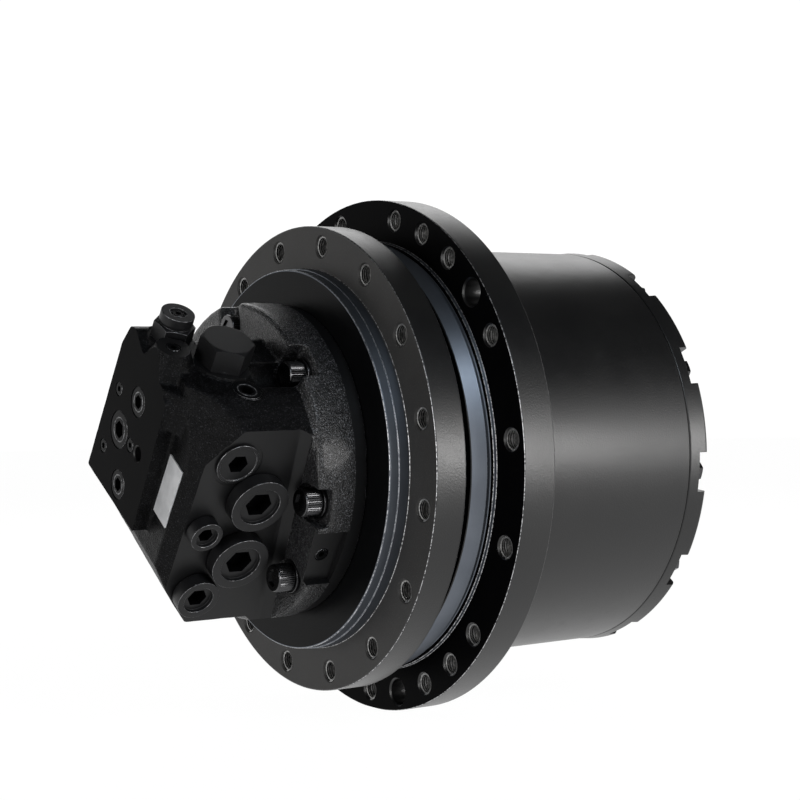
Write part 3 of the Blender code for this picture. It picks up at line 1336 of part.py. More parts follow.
def make_block_plugs():
    """Port plugs with their ring-shaped collars."""
    for name, at, radius, proud, recess, depth in port_plugs():
        start = on_port_face(at, -PLUG_DEPTH)
        shank = port_shank(radius)
        length = PLUG_DEPTH + proud
        recess = recess or radius - 0.002
        depth = depth or 0.0006
        outline = [
            (0, 0),
            (0, shank),
            (PLUG_DEPTH + FIT, shank),
            (PLUG_DEPTH + FIT, radius),
            (length, radius),
            (length, recess),
            (length - depth, recess),
            (length - depth, 0),
        ]
        place = facing(start, PORT_WAY)
        bm = bmesh.new()
        turned(bm, outline, SIDES_PLUG, place=place)
        plug = finish(bm, name, LOOKS["plug"], BLOCK_TURN)
        bm = bmesh.new()
        hexagon = circle(radius * 0.41 * HEX_CORNER, HEX)
        plate(bm, [hexagon], length - depth - 0.009, length + 0.003, place=place)
        boolean(plug, "DIFFERENCE", cutter(bm, name + "_socket", BLOCK_TURN))


def make_block_screws():
    """Cap screws that hold the port block to the spindle, each one body with its washer."""
    under = PB_SCREW_SEAT_X - FIT
    head = under - WASHER_T
    for number, angle in enumerate(sorted(PB_SCREW_ANGLES), 1):
        at = polar(PB_SCREW_CIRCLE_R, math.pi + math.radians(angle))
        outline = [
            (head - PB_SCREW_HEAD_T, 0),
            (head - PB_SCREW_HEAD_T, PB_SCREW_HEAD_R),
            (head, PB_SCREW_HEAD_R),
            (head, WASHER_R),
            (under, WASHER_R),
            (under, PB_SCREW_R),
            (PB_SCREW_SEAT_X + PB_SCREW_REACH + PB_SCREW_TIP, PB_SCREW_R),
            (PB_SCREW_SEAT_X + PB_SCREW_REACH + PB_SCREW_TIP, 0),
        ]
        bm = bmesh.new()
        turned(bm, outline, SIDES_SMALL, at)
        name = "port_block_screw_%d" % number
        screw = finish(bm, name, LOOKS["bolt"], BLOCK_TURN)
        bm = bmesh.new()
        top = head - PB_SCREW_HEAD_T
        plate(bm, [circle(0.006 * HEX_CORNER, HEX, at)], top - 0.01, top + 0.007)
        boolean(screw, "DIFFERENCE", cutter(bm, name + "_socket", BLOCK_TURN))


def make_valves():
    """Counterbalance spool between two springs in a blind bore, its cap, and the relief valve."""
    seat = SEAT_HEIGHT + FIT
    bm = bmesh.new()
    place = facing((SPOOL_AT[0], -SPOOL_AT[1], 0), UP_WAY)
    upright(bm, [(SEAT_HEIGHT - CAP_SHANK + FIT, 0), (SEAT_HEIGHT - CAP_SHANK + FIT, CAP_SHANK_R),
                 (seat + 0.004, CAP_SHANK_R), (seat + 0.004, 0)], SPOOL_AT)
    cap = finish(bm, "spool_cap", LOOKS["bolt"], BLOCK_TURN)
    bm = bmesh.new()
    corner = CAP_ACROSS_FLATS / 2 * HEX_CORNER
    turned(bm, [(seat, 0), (seat, corner), (seat + CAP_T - 0.0012, corner), (seat + CAP_T, corner - 0.0022),
                (seat + CAP_T, 0)], HEX, place=place @ Matrix.Rotation(CAP_TURN, 4, "X"))
    boolean(cap, "UNION", cutter(bm, "spool_cap_head", BLOCK_TURN))

    lower = SPOOL_BORE_END
    upper = SEAT_HEIGHT - CAP_SHANK + FIT
    middle = (lower + upper) / 2
    half = SPOOL_HALF_LENGTH
    waist = SPOOL_R * 0.6
    land = hole_radius(SPOOL_R, SIDES_SMALL)
    outline = [
        (middle - half - SPOOL_STEM, 0),
        (middle - half - SPOOL_STEM, SPOOL_STEM_R),
        (middle - half, SPOOL_STEM_R),
        (middle - half, land),
        (middle - half * 0.3, land),
        (middle - half * 0.3, waist),
        (middle + half * 0.3, waist),
        (middle + half * 0.3, land),
        (middle + half, land),
        (middle + half, SPOOL_STEM_R),
        (middle + half + SPOOL_STEM, SPOOL_STEM_R),
        (middle + half + SPOOL_STEM, 0),
    ]
    bm = bmesh.new()
    turned(bm, [(x - middle, r) for x, r in outline], SIDES_SMALL, place=facing((0, 0, 0), UP_WAY))
    spool = finish(bm, "counterbalance_spool", LOOKS["steel"], BLOCK_TURN)
    turn = Matrix.Rotation(BLOCK_TURN, 3, "X")
    spool.location = turn @ Vector((SPOOL_AT[0], -SPOOL_AT[1], middle))
    length = upper - middle - half - SPOOL_STROKE - 2 * FIT
    for part, start in (("lower", lower + FIT), ("upper", upper - FIT - length)):
        bm = bmesh.new()
        coil(bm, (SPOOL_AT[0], -SPOOL_AT[1]), start, start + length)
        finish(bm, "spool_spring_" + part, LOOKS["steel"], BLOCK_TURN)

    bm = bmesh.new()
    corner = RELIEF_ACROSS_FLATS / 2 * HEX_CORNER
    place = facing((RELIEF_AT[0], -RELIEF_AT[1], 0), UP_WAY)
    turned(bm, [(seat, 0), (seat, corner), (seat + RELIEF_HEX_T - 0.001, corner),
                (seat + RELIEF_HEX_T, corner - 0.0018), (seat + RELIEF_HEX_T, 0)], HEX,
           place=place @ Matrix.Rotation(CAP_TURN, 4, "X"))
    valve = finish(bm, "relief_valve", LOOKS["bolt"], BLOCK_TURN)
    bm = bmesh.new()
    top = seat + RELIEF_HEX_T + RELIEF_CAP_T
    upright(bm, [(seat + 0.004, 0), (seat + 0.004, RELIEF_CAP_R), (top - 0.001, RELIEF_CAP_R),
                 (top, RELIEF_CAP_R - 0.001), (top, 0)], RELIEF_AT)
    upright(bm, [(SEAT_HEIGHT - RELIEF_SHANK, 0), (SEAT_HEIGHT - RELIEF_SHANK, RELIEF_SHANK_R),
                 (seat + 0.003, RELIEF_SHANK_R), (seat + 0.003, 0)], RELIEF_AT)
    boolean(valve, "UNION", cutter(bm, "relief_valve_round", BLOCK_TURN))
    bm = bmesh.new()
    plate(bm, [circle(0.004 * HEX_CORNER, HEX)], top - 0.005, top + 0.01, place=place)
    boolean(valve, "DIFFERENCE", cutter(bm, "relief_valve_socket", BLOCK_TURN))


def coil(bm, at, start, end):
    """A rigid compression spring along the block's upright line."""
    steps = int(SPRING_TURNS * SIDES_HOLE)
    low = start + SPRING_WIRE_R
    rise = (end - start - 2 * SPRING_WIRE_R) / steps
    rings = []
    for k in range(steps + 1):
        angle = k * math.tau / SIDES_HOLE
        out = Vector((math.cos(angle), math.sin(angle), 0))
        centre = Vector((*at, low + rise * k)) + SPRING_R * out
        wire = []
        for turn in around(4):
            offset = out * math.cos(turn) + Vector((0, 0, 1)) * math.sin(turn)
            wire.append(bm.verts.new(centre + SPRING_WIRE_R * offset))
        rings.append(wire)
    for near, far in zip(rings, rings[1:]):
        for k in range(4):
            bm.faces.new((near[k], near[k - 1], far[k - 1], far[k]))
    bm.faces.new(rings[0])
    bm.faces.new(reversed(rings[-1]))


def make_label():
    """The plain metal label on the label face."""
    bm = bmesh.new()
    x = LABEL_X - FIT
    block_prism(bm, LABEL_CORNERS, x - LABEL_T, x)
    finish(bm, "label_plate", LOOKS["label"], BLOCK_TURN)


LOOKS = {
    "helper": material("helper", (0.8, 0.2, 0.2), 0.0, 0.5),
    "cast": material("cast", (0.055, 0.055, 0.06), 0.3, 0.45),
    "hub": material("hub", (0.035, 0.035, 0.038), 0.3, 0.4),
    "rough": material("rough", (0.02, 0.02, 0.021), 0.2, 0.35),
    "bolt": material("bolt", (0.03, 0.03, 0.032), 0.6, 0.3),
    "steel": material("steel", (0.45, 0.46, 0.48), 1.0, 0.3),
    "gear": material("gear", (0.38, 0.38, 0.4), 1.0, 0.35),
    "plug": material("plug", (0.05, 0.05, 0.053), 0.6, 0.4),
    "label": material("label", (0.75, 0.75, 0.76), 1.0, 0.35),
    "bronze": material("bronze", (0.55, 0.38, 0.18), 1.0, 0.4),
    "rubber": material("rubber", (0.02, 0.02, 0.02), 0.0, 0.7),
}


def main():
    for old in list(bpy.data.objects):
        bpy.data.objects.remove(old, do_unlink=True)
    make_spindle()
    make_port_block()
    make_block_plugs()
    make_block_screws()
    make_valves()
    make_label()
    make_motor_fixed_pieces()
    make_rotor()
    make_brake()
    make_seals()
    make_bearings()
    make_output_stage()
    make_input_stage()
    make_hub()
    make_cover()
    make_thrust_button()


main()
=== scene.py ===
"""Looks of the excavator final drive, in the same frame as its solids.

Metres, with +Z up. The drive axis is X, from the motor towards the cover.
The port block is drawn in its own frame and turned about the drive axis.
"""

import math

import bmesh
import bpy
from mathutils import Matrix, Vector, noise


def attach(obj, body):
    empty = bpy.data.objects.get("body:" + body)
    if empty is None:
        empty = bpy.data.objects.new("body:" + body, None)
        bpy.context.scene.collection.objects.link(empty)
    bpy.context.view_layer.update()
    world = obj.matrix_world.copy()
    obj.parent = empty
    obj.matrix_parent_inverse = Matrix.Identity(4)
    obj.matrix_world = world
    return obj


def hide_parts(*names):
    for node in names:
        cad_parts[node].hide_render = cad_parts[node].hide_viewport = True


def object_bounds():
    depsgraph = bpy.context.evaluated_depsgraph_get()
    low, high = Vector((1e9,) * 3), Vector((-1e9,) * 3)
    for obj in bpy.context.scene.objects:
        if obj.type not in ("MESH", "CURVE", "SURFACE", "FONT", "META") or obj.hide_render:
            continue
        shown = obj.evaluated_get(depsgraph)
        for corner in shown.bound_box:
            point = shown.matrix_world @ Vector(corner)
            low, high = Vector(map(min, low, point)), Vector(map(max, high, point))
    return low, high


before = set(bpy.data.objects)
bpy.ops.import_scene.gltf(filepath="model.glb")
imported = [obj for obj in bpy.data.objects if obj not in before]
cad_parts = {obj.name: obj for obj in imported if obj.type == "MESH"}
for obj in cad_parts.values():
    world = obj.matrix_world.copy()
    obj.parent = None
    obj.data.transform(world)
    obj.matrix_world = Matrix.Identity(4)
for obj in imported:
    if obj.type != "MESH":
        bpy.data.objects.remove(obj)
cad_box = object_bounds()

MM = 0.001
STEPS_LARGE = 288
STEPS_MEDIUM = 96
STEPS_SMALL = 40
TURNED_ROUNDING = 1.1 * MM

# Holes and threads
TAPPED_R = 0.008
HOLE_CHAMFER = 0.0012
HOLE_BEYOND = 0.004
THREAD_PITCH = 2 * MM
THREAD_RIDGE = 0.95 * MM
THREAD_INSET = 0.7 * MM
SLOT_REACH = 0.04

# Spindle
MOUNT_FLANGE_R = 0.1825
MOUNT_FLANGE_T = 0.026
MOUNT_HOLE_CIRCLE_R = 0.1675
MOUNT_HOLES = 16
MOUNT_HOLE_FIRST = math.radians(11.25)
PILOT_R = 0.148
PILOT_LENGTH = 0.017
PILOT_ROOT_R = 0.1488
PILOT_ROOT_LENGTH = 0.009
CAVITY_R = 0.088
CAVITY_END = 0.0975
BRAKE_BORE_R = 0.0804
BRAKE_SHOULDER_X = 0.030
SHAFT_SEAT_R = 0.031
SHAFT_SEAT_X = 0.1205
SHAFT_PASSAGE_R = 0.024
NECK_R = 0.128
NECK_END = 0.0575
CONE_SHOULDER_R = 0.107
NOSE_R = 0.0967
NOSE_START = 0.0597
NOSE_END = 0.130

# Floating seal
SEAL_MIDDLE = 0.033
SEAL_POCKET_R = 0.1535
SEAL_POCKET_X = 0.014
SEAL_LIP_R = 0.150
SEAL_RING_R = 0.1415
SEAL_RING_IN_R = 0.1315
HUB_SEAL_END = 0.052

# Hub
HUB_FRONT = 0.040
COLLAR_R = 0.172
COLLAR_BAND = 0.013
COLLAR_GROOVE = 0.005
COLLAR_TAPER = 0.004
COLLAR_GROOVE_R = 0.1685
SPROCKET_FACE = 0.061
SPROCKET_FLANGE_R = 0.205
SPROCKET_HOLE_CIRCLE_R = 0.1905
SPROCKET_PLAIN_R = 0.0102
SPROCKET_PLAIN_FIRST = math.radians(19.2)
SPROCKET_TAPPED_AFTER = (12, 36, 60, 84, 96, 108)
BARREL_START = 0.089
BARREL_FILLET = 2.5 * MM
BARREL_R = 0.1665
CUP_R = 0.1275
CUP_SHOULDER_R = 0.1185
CUP_REAR_END = 0.087
CUP_FRONT_START = 0.103
CUP_FRONT_END = 0.1303

# Ring gear
GEAR_MODULE = 0.005
RING_TEETH = 55
RING_PITCH_R = GEAR_MODULE * RING_TEETH / 2
RING_RELIEF_R = 0.1445
RING_START = 0.1466
RING_END = 0.2442
PRESSURE_ANGLE = math.radians(20)
TOOTH_PLAY = 0.5 * MM

# Cover
COVER_JOINT = 0.257
COVER_FACE = 0.271
COVER_TOP = 0.2766
COVER_RIM_WIDTH = 0.028
SPIGOT_END = 0.2473
SPIGOT_R = 0.1442
BUTTON_SEAT_X = 0.2613
BUTTON_SEAT_R = 0.0185
COVER_NOTCH_FLOOR = 0.2668
COVER_NOTCH_R = 0.0158
COVER_BOLTS = 12
COVER_BOLT_FIRST = math.radians(6)
COVER_BOLT_CIRCLE_R = 0.1555
COVER_BOLT_ACROSS_FLATS = 16.4 * MM
COVER_PLUG_CIRCLE_R = 0.095
COVER_PLUG_ANGLES = (90, 0, 270)
COVER_PLUG_SOCKET = 9.8 * MM

# Port block: sections are (towards the port side, up), side views (along, up), plans (along, towards)
BLOCK_TURN = math.radians(35.5)
BLOCK_FLANGE_R = 0.122
BLOCK_FLANGE_FRONT = -0.061
BLOCK_FILLET = 2.5 * MM
BLOCK_BAND_R = 0.120
BLOCK_BAND_END = -0.029
SCREW_CIRCLE_R = 0.103
SCREW_SEAT_X = -0.047
SCREW_HEAD_TOP = 16.5 * MM
SCREW_ANGLES = (-20.25, 20.25, -74.75, 74.75, -128.5, 128.5, 180)
SPOT_FACE_R = 13.4 * MM
POCKET_R = 0.0145
POCKET_FRONT = -0.092
PORT_FACE = 0.0795
UPPER_SIDE = 0.101
LABEL_X = -0.149
END_X = -0.162
SIDE_FLAT = 0.1145
SEAT_HEIGHT = 0.103
BODY_SECTION = (
    (0.0835, -0.088), (0.0835, 0.087), (PORT_FACE, 0.089), (0.060, 0.098), (0.052, UPPER_SIDE),
    (-0.016, UPPER_SIDE), (-0.060, 0.068), (-0.072, 0.050), (-0.072, -0.048), (-0.055, -0.066),
    (0.005, -0.088),
)
BODY_SIDE_VIEW = (
    (-0.159, -0.028), (LABEL_X, -0.038), (-0.138, -0.057), (-0.115, -0.0875), (-0.1145, -0.108),
    (-0.030, -0.108), (-0.030, 0.13), (-0.159, 0.13),
)
END_SECTION = (
    (-0.040, -0.027), (0.048, -0.022), (0.042, 0.087), (0.003, 0.093),
    (-0.013, 0.099), (-0.026, 0.1055), (-0.034, 0.1025), (-0.040, 0.084),
)
BLOCK_SHOULDER = (
    (-0.036, 0.060), (0.012, 0.060), (0.008, 0.091), (-0.010, 0.098), (-0.026, 0.104), (-0.036, 0.096),
)
LABEL_BEVEL = ((-0.159, 0.0895), (-0.159, 0.0605), (-0.130, 0.0895))
FAR_BEVEL = ((-0.165, -0.037), (-0.165, -0.095), (-0.107, -0.095))
BLOCK_ROOT = ((-0.057, 0.0755), (-0.057, 0.0855), (-0.063, 0.0855), (-0.0735, 0.0755))
BLOCK_CORNER = ((-0.165, 0.0), (-0.165, 0.0375), (-0.130, 0.0715), (-0.100, 0.0715), (-0.100, 0.0))
BLOCK_CORNER_HEIGHTS = (0.0655, 0.0935)
CORNER_PLANE = ((-0.141, PORT_FACE, 0.059), (-0.117, PORT_FACE, 0.088), (LABEL_X, 0.044, 0.094))
PORT_CUT = (
    (-0.20, -0.14), (-0.0455, -0.14), (-0.049, -0.092), (-0.071, 0.090), (-0.077, 0.14), (-0.20, 0.14),
)
PORT_CUT_NEAR = -0.15
PORT_STEP = 0.0042
PORT_CHAMFER = 0.0075
PORT_PLUGS = {
    "main_port_plug_upper": ((-0.0915, 0.02925), 0.0225, 0.012),
    "main_port_plug_lower": ((-0.0915, -0.02425), 0.0225, 0.012),
    "drain_plug_upper": ((-0.1145, 0.0613), 0.0165, 0.002),
    "drain_plug_lower": ((-0.117, -0.056), 0.0165, 0.012),
    "pilot_plug": ((-0.1265, 0.003), 0.0122, 0.011),
}
SHANK_SHARE = 0.74
PLUG_DEPTH = 0.0123
PLUG_MEDIUM_R = 0.0106
PLUG_SMALL_R = 0.0048
END_PLUGS = (
    ((-0.010, 0.027), 0.0136), ((0.005, 0.0625), PLUG_MEDIUM_R), ((0.010, -0.0085), PLUG_MEDIUM_R),
    ((-0.026, 0.0525), PLUG_SMALL_R), ((-0.0255, 0.001), PLUG_SMALL_R), ((0.0112, 0.0285), PLUG_SMALL_R),
)
END_TAPPED = (0.0245, 0.0305)
END_TAPPED_R = 0.0055
UPPER_PLUG = (-0.103, 0.046)
FLAT_PLUG_X = -0.042
BOSS_PLUG = (-0.149, 0.009)
BOSS_PLUG_TOP = 0.113
BOSS_R = 0.0128
SPOOL_AT = (-0.109, 0.0125)
SPOOL_R = 0.0144
CAP_SHANK_R = 0.017
CAP_COLLAR_R = 0.0182
CAP_ACROSS_FLATS = 0.036
CAP_T = 0.0185
CAP_TURN = math.radians(12)
RELIEF_AT = (-0.1375, -0.017)
RELIEF_ACROSS_FLATS = 0.027
RELIEF_HEIGHT = 0.022
LABEL_CORNERS = ((0.0478, 0.0472), (0.0694, 0.0472), (0.0694, -0.003), (0.0478, -0.003))

# Looks and studio
COAT_ROUGHNESS = 0.18
BACKDROP_R = 6.0
BACKDROP_TOP = 2.4
BACKDROP_SIDES = 96
PALE = (0.8, 0.8, 0.8, 1)
WHITE_LEVEL = 1.06
FLOOR_WHITE_SHARE = 0.93
ROOM_LEVEL = 0.07
LAMP_AIM = (0.05, 0, 0)

PORT_WAY = Vector((0, -1, 0))
UP_WAY = Vector((0, 0, 1))
END_WAY = Vector((-1, 0, 0))
TURNED = Matrix.Rotation(BLOCK_TURN, 4, "X")


def add_node(tree, kind, sockets=None, **settings):
    """Add a node: its settings first, then the values or links of its sockets."""
    made = tree.nodes.new(kind)
    for name, value in settings.items():
        setattr(made, name, value)
    for key, value in (sockets or {}).items():
        if isinstance(value, Wire):
            value = value.socket
        if isinstance(value, bpy.types.NodeSocket):
            tree.links.new(value, made.inputs[key])
        else:
            made.inputs[key].default_value = value
    return made


class Wire:
    """A shader socket that arithmetic can be written with."""

    def __init__(self, tree, socket):
        self.tree = tree
        self.socket = socket

    def math(self, operation, first, second):
        made = add_node(self.tree, "ShaderNodeMath", {0: first, 1: second}, operation=operation)
        return Wire(self.tree, made.outputs[0])

    def __add__(self, other):
        return self.math("ADD", self, other)

    def __mul__(self, other):
        return self.math("MULTIPLY", self, other)

    def __pow__(self, other):
        return self.math("POWER", self, other)

    __radd__ = __add__
    __rmul__ = __mul__

    def step(self, low, high):
        """0 below low and 1 above high, smooth between."""
        sockets = {"Value": self, "From Min": low, "From Max": high}
        made = add_node(self.tree, "ShaderNodeMapRange", sockets, interpolation_type="SMOOTHSTEP")
        return Wire(self.tree, made.outputs[0])


class Finish:
    """One material on object coordinates, in metres."""

    def __init__(self, name, metallic=0.0, specular=0.5, coat=0.0):
        self.material = bpy.data.materials.new(name)
        self.material.use_nodes = True
        self.tree = self.material.node_tree
        self.shader = self.tree.nodes["Principled BSDF"]
        self.shader.inputs["Metallic"].default_value = metallic
        self.shader.inputs["Specular IOR Level"].default_value = specular
        self.shader.inputs["Coat Weight"].default_value = coat
        self.shader.inputs["Coat Roughness"].default_value = COAT_ROUGHNESS
        self.at = self.add("ShaderNodeTexCoord", out="Object")

    def add(self, kind, sockets=None, out=0, **settings):
        made = add_node(self.tree, kind, sockets, **settings)
        return Wire(self.tree, made.outputs[out])

    def noise(self, size, detail=2.0, at=None, roughness=0.5):
        """Soft noise whose grains are about this many metres wide."""
        sockets = {"Vector": at or self.at, "Scale": 1 / size, "Detail": detail, "Roughness": roughness}
        return self.add("ShaderNodeTexNoise", sockets)

    def cells(self, size):
        return self.add("ShaderNodeTexVoronoi", {"Vector": self.at, "Scale": 1 / size}, out="Distance")

    def axes(self):
        made = add_node(self.tree, "ShaderNodeSeparateXYZ", {0: self.at})
        return [Wire(self.tree, socket) for socket in made.outputs]

    def radius(self):
        """The distance from the drive axis."""
        _, y, z = self.axes()
        return (y * y + z * z) ** 0.5

    def streaks(self, detail, x, y=0.0, z=0.0):
        """Noise in a space that is pressed together or drawn out, for grooves and brush marks."""
        return self.noise(1.0, detail, at=self.add("ShaderNodeCombineXYZ", {0: x, 1: y, 2: z}))

    def turning(self, fineness, detail):
        """Turning marks round the drive axis, so many to the metre."""
        x, _, _ = self.axes()
        return self.streaks(detail, self.radius() * fineness, x * fineness)

    def mix(self, share, first, second):
        sockets = {0: share, 6: (*first, 1.0) if isinstance(first, tuple) else first, 7: (*second, 1.0)}
        return self.add("ShaderNodeMix", sockets, out=2, data_type="RGBA")

    def relief(self, height, depth, strength):
        """Bump of this depth in metres."""
        sockets = {"Height": height, "Distance": depth, "Strength": strength}
        bump = self.add("ShaderNodeBump", sockets)
        self.tree.links.new(bump.socket, self.shader.inputs["Normal"])

    def done(self, share, dark, light, roughness):
        """The material, with its colour between two tones by a share."""
        tone = self.mix(share, dark, light)
        self.tree.links.new(tone.socket, self.shader.inputs["Base Color"])
        self.tree.links.new(roughness.socket, self.shader.inputs["Roughness"])
        return self.material


def barrel_paint():
    """Satin black spray paint with a fine orange peel and faint handling marks."""
    look = Finish("barrel_paint")
    peel = look.noise(1.3 * MM, 1.5)
    haze = look.noise(38 * MM, 3.0)
    marks = look.noise(9 * MM, 5.0, roughness=0.7).step(0.56, 0.74)
    look.relief(peel + look.noise(0.45 * MM, 1.0) * 0.4, 0.16 * MM, 0.5)
    return look.done(haze.step(0.3, 0.75), (0.0025, 0.0025, 0.0028), (0.0045, 0.0044, 0.0044),
                     0.30 + haze * 0.08 + marks * 0.05)


def face_black():
    """Deep smooth black on the turned faces that look back along the axis, also lining hexagon sockets as
    painted shade.
    """
    look = Finish("face_black", specular=0.012)
    haze = look.noise(24 * MM, 3.0)
    look.relief(look.noise(0.8 * MM, 1.5), 0.05 * MM, 0.35)
    return look.done(haze, (0.0013, 0.0013, 0.0015), (0.0022, 0.0022, 0.0025), 0.34 + haze * 0.1)


def turned_black():
    """Faint black sheen over the fine turning grooves of the pilot's end face."""
    look = Finish("turned_black", specular=0.045)
    grooves = look.streaks(1.0, look.radius() * 1400)
    look.relief(grooves, 0.16 * MM, 0.8)
    return look.done(look.noise(24 * MM, 3.0), (0.0022, 0.0023, 0.0026), (0.004, 0.0042, 0.0046),
                     0.24 + grooves * 0.12)


def flange_paint():
    """Thin graphite paint over turned iron: fine speckle and faint turning marks."""
    look = Finish("flange_paint", specular=0.2)
    lines = look.turning(900, 1.0)
    grain = look.noise(0.5 * MM)
    speck = look.noise(0.9 * MM, 1.0).step(0.6, 0.72)
    tone = look.mix(look.noise(30 * MM, 3.0), (0.030, 0.029, 0.028), (0.044, 0.043, 0.042))
    look.relief(lines * 0.55 + grain * 0.6, 0.09 * MM, 0.45)
    return look.done(speck * 0.5, tone, (0.085, 0.083, 0.081), 0.44 + grain * 0.14)


def machined_paint():
    """Turned pilot and collar under a thin dark coat, with a cool sheen."""
    look = Finish("machined_paint", metallic=1.0)
    lines = look.turning(1600, 2.0)
    look.relief(lines, 0.03 * MM, 0.3)
    return look.done(look.noise(25 * MM, 3.0), (0.115, 0.128, 0.150), (0.175, 0.192, 0.220),
                     0.36 + lines * 0.12)


def rubbed(look, size, low, high, dark, light, least, spread):
    """A coat that is rubbed through to bright metal in patches."""
    rub = look.noise(size, 3.0)
    return look.done(rub.step(low, high), dark, light, least + rub * spread)


def worn_edge():
    """Broken edges where the paint is thin and the iron shines through in patches; the bright iron colour
    along the rims is also a painted highlight.
    """
    look = Finish("worn_edge", metallic=1.0)
    return rubbed(look, 1.6 * MM, 0.36, 0.62, (0.05, 0.05, 0.052), (0.52, 0.52, 0.53), 0.34, 0.16)


def cast_black(look, grain, cell, lump, painted_glint, grades, depth, strength, dark, light, painted_glint_colour, roughness):
    """Black paint on sand-cast iron: coarse grains, and bright specks mixed into the colour as painted
    glints.
    """
    grains = look.noise(grain, 1.0)
    pits = look.cells(cell).step(0.05, 0.6)
    lumps = look.noise(lump)
    look.relief(grains * grades[0] + pits * grades[1] + lumps * grades[2], depth, strength)
    tone = look.mix(lumps.step(0.35, 0.7), dark, light)
    # The colour is lightened towards the glint colour in the specks: painted glints.
    return look.done(painted_glint, tone, painted_glint_colour, roughness[0] + look.noise(2.5 * MM) * roughness[1])


def cast_paint():
    """The lit copy of the cast paint, on the flange, where the casting faces the light: glossy, with bright
    painted glints.
    """
    look = Finish("cast_paint", specular=0.36, coat=0.12)
    # Painted glints: a sparse mask of specks that lightens the colour.
    painted_glint = look.noise(1.1 * MM, 1.0).step(0.56, 0.68)
    return cast_black(look, 1.0 * MM, 1.5 * MM, 5 * MM, painted_glint, (1.3, 0.8, 0.8), 0.55 * MM, 0.9,
                      (0.002, 0.002, 0.0024), (0.0045, 0.0045, 0.005), (0.11, 0.11, 0.115), (0.2, 0.24))


def dull_cast_paint():
    """A darker copy of the same cast paint for the block beyond the flange, where its sides lie in shade: its
    darker tones and dimmer glints are painted shade; finer grains, a thinner gloss.
    """
    look = Finish("dull_cast_paint", specular=0.075)
    # Painted glints: a sparse mask of specks that lightens the colour.
    painted_glint = look.noise(1.0 * MM, 1.0).step(0.6, 0.72)
    return cast_black(look, 0.9 * MM, 1.3 * MM, 6 * MM, painted_glint, (1.1, 0.7, 0.6), 0.4 * MM, 0.8,
                      (0.0012, 0.0012, 0.0014), (0.003, 0.003, 0.0034), (0.028, 0.028, 0.030), (0.3, 0.2))


def milled_paint():
    """Milled faces of the port block under the same paint."""
    look = Finish("milled_paint", specular=0.26)
    x, y, z = look.axes()
    sweep = look.streaks(1.0, x * 60, y * 700, z * 700)
    grain = look.noise(0.6 * MM, 1.5)
    look.relief(sweep * 0.5 + grain * 0.6, 0.05 * MM, 0.3)
    return look.done(look.noise(22 * MM, 3.0), (0.003, 0.003, 0.0034), (0.006, 0.006, 0.0064),
                     0.36 + grain * 0.12)


def plug_coat():
    """Phosphated plug steel: smooth and dark grey."""
    look = Finish("plug_coat", specular=0.25)
    grain = look.noise(0.45 * MM)
    look.relief(grain, 0.035 * MM, 0.35)
    return look.done(look.noise(7 * MM, 3.0), (0.004, 0.004, 0.0045), (0.008, 0.008, 0.0086),
                     0.36 + grain * 0.14)


def plug_edge():
    """The coat of plugs and caps where their broken edges are rubbed thin; the brighter edge colour is also a
    painted highlight.
    """
    look = Finish("plug_edge", metallic=0.7)
    return rubbed(look, 2.2 * MM, 0.35, 0.65, (0.05, 0.05, 0.052), (0.30, 0.30, 0.31), 0.28, 0.16)


def dark_oxide():
    """Black-oxide fasteners, oily and glossy."""
    look = Finish("dark_oxide", metallic=1.0)
    grain = look.noise(0.6 * MM)
    look.relief(grain, 0.03 * MM, 0.4)
    return look.done(look.noise(4 * MM), (0.040, 0.040, 0.042), (0.10, 0.10, 0.103), 0.18 + grain * 0.14)


def cut_thread():
    """Painted thread flanks whose crests catch the light."""
    look = Finish("cut_thread", metallic=0.5, specular=0.8)
    return rubbed(look, 2.2 * MM, 0.4, 0.7, (0.20, 0.20, 0.198), (0.46, 0.455, 0.445), 0.30, 0.2)


def bare_foil():
    """A plain brushed foil label."""
    look = Finish("bare_foil", metallic=0.2)
    x, y, z = look.axes()
    brush = look.streaks(2.0, x * 200, y * 3000, z * 120)
    cloud = look.noise(11 * MM, 4.0)
    look.relief(brush, 0.02 * MM, 0.25)
    return look.done(cloud.step(0.3, 0.8), (0.62, 0.625, 0.635), (0.80, 0.805, 0.815),
                     0.33 + brush * 0.14 + cloud * 0.08)


def ground_steel():
    look = Finish("ground_steel", metallic=1.0)
    lines = look.turning(1500, 2.0)
    look.relief(lines, 0.02 * MM, 0.3)
    return look.done(look.noise(9 * MM, 3.0), (0.40, 0.405, 0.415), (0.52, 0.525, 0.535), 0.22 + lines * 0.16)


def gear_steel():
    look = Finish("gear_steel", metallic=1.0, coat=0.35)
    grain = look.noise(0.7 * MM)
    look.relief(grain, 0.02 * MM, 0.3)
    return look.done(look.noise(14 * MM, 3.0), (0.26, 0.255, 0.25), (0.40, 0.39, 0.375), 0.26 + grain * 0.16)


def bearing_bronze():
    look = Finish("bearing_bronze", metallic=1.0)
    grain = look.noise(0.8 * MM, 3.0)
    look.relief(grain, 0.02 * MM, 0.3)
    return look.done(look.noise(8 * MM, 3.0), (0.45, 0.29, 0.13), (0.60, 0.41, 0.20), 0.28 + grain * 0.18)


def friction_lining():
    look = Finish("friction_lining", specular=0.3)
    grit = look.cells(1.0 * MM)
    look.relief(grit, 0.1 * MM, 0.5)
    return look.done(grit.step(0.2, 0.7), (0.16, 0.11, 0.07), (0.30, 0.21, 0.13), 0.7 + grit * 0.15)


def seal_rubber():
    look = Finish("seal_rubber", specular=0.3)
    dust = look.noise(2.5 * MM, 4.0)
    look.relief(look.noise(0.5 * MM), 0.04 * MM, 0.4)
    return look.done(dust.step(0.45, 0.75), (0.008, 0.008, 0.008), (0.022, 0.022, 0.021), 0.55 + dust * 0.2)


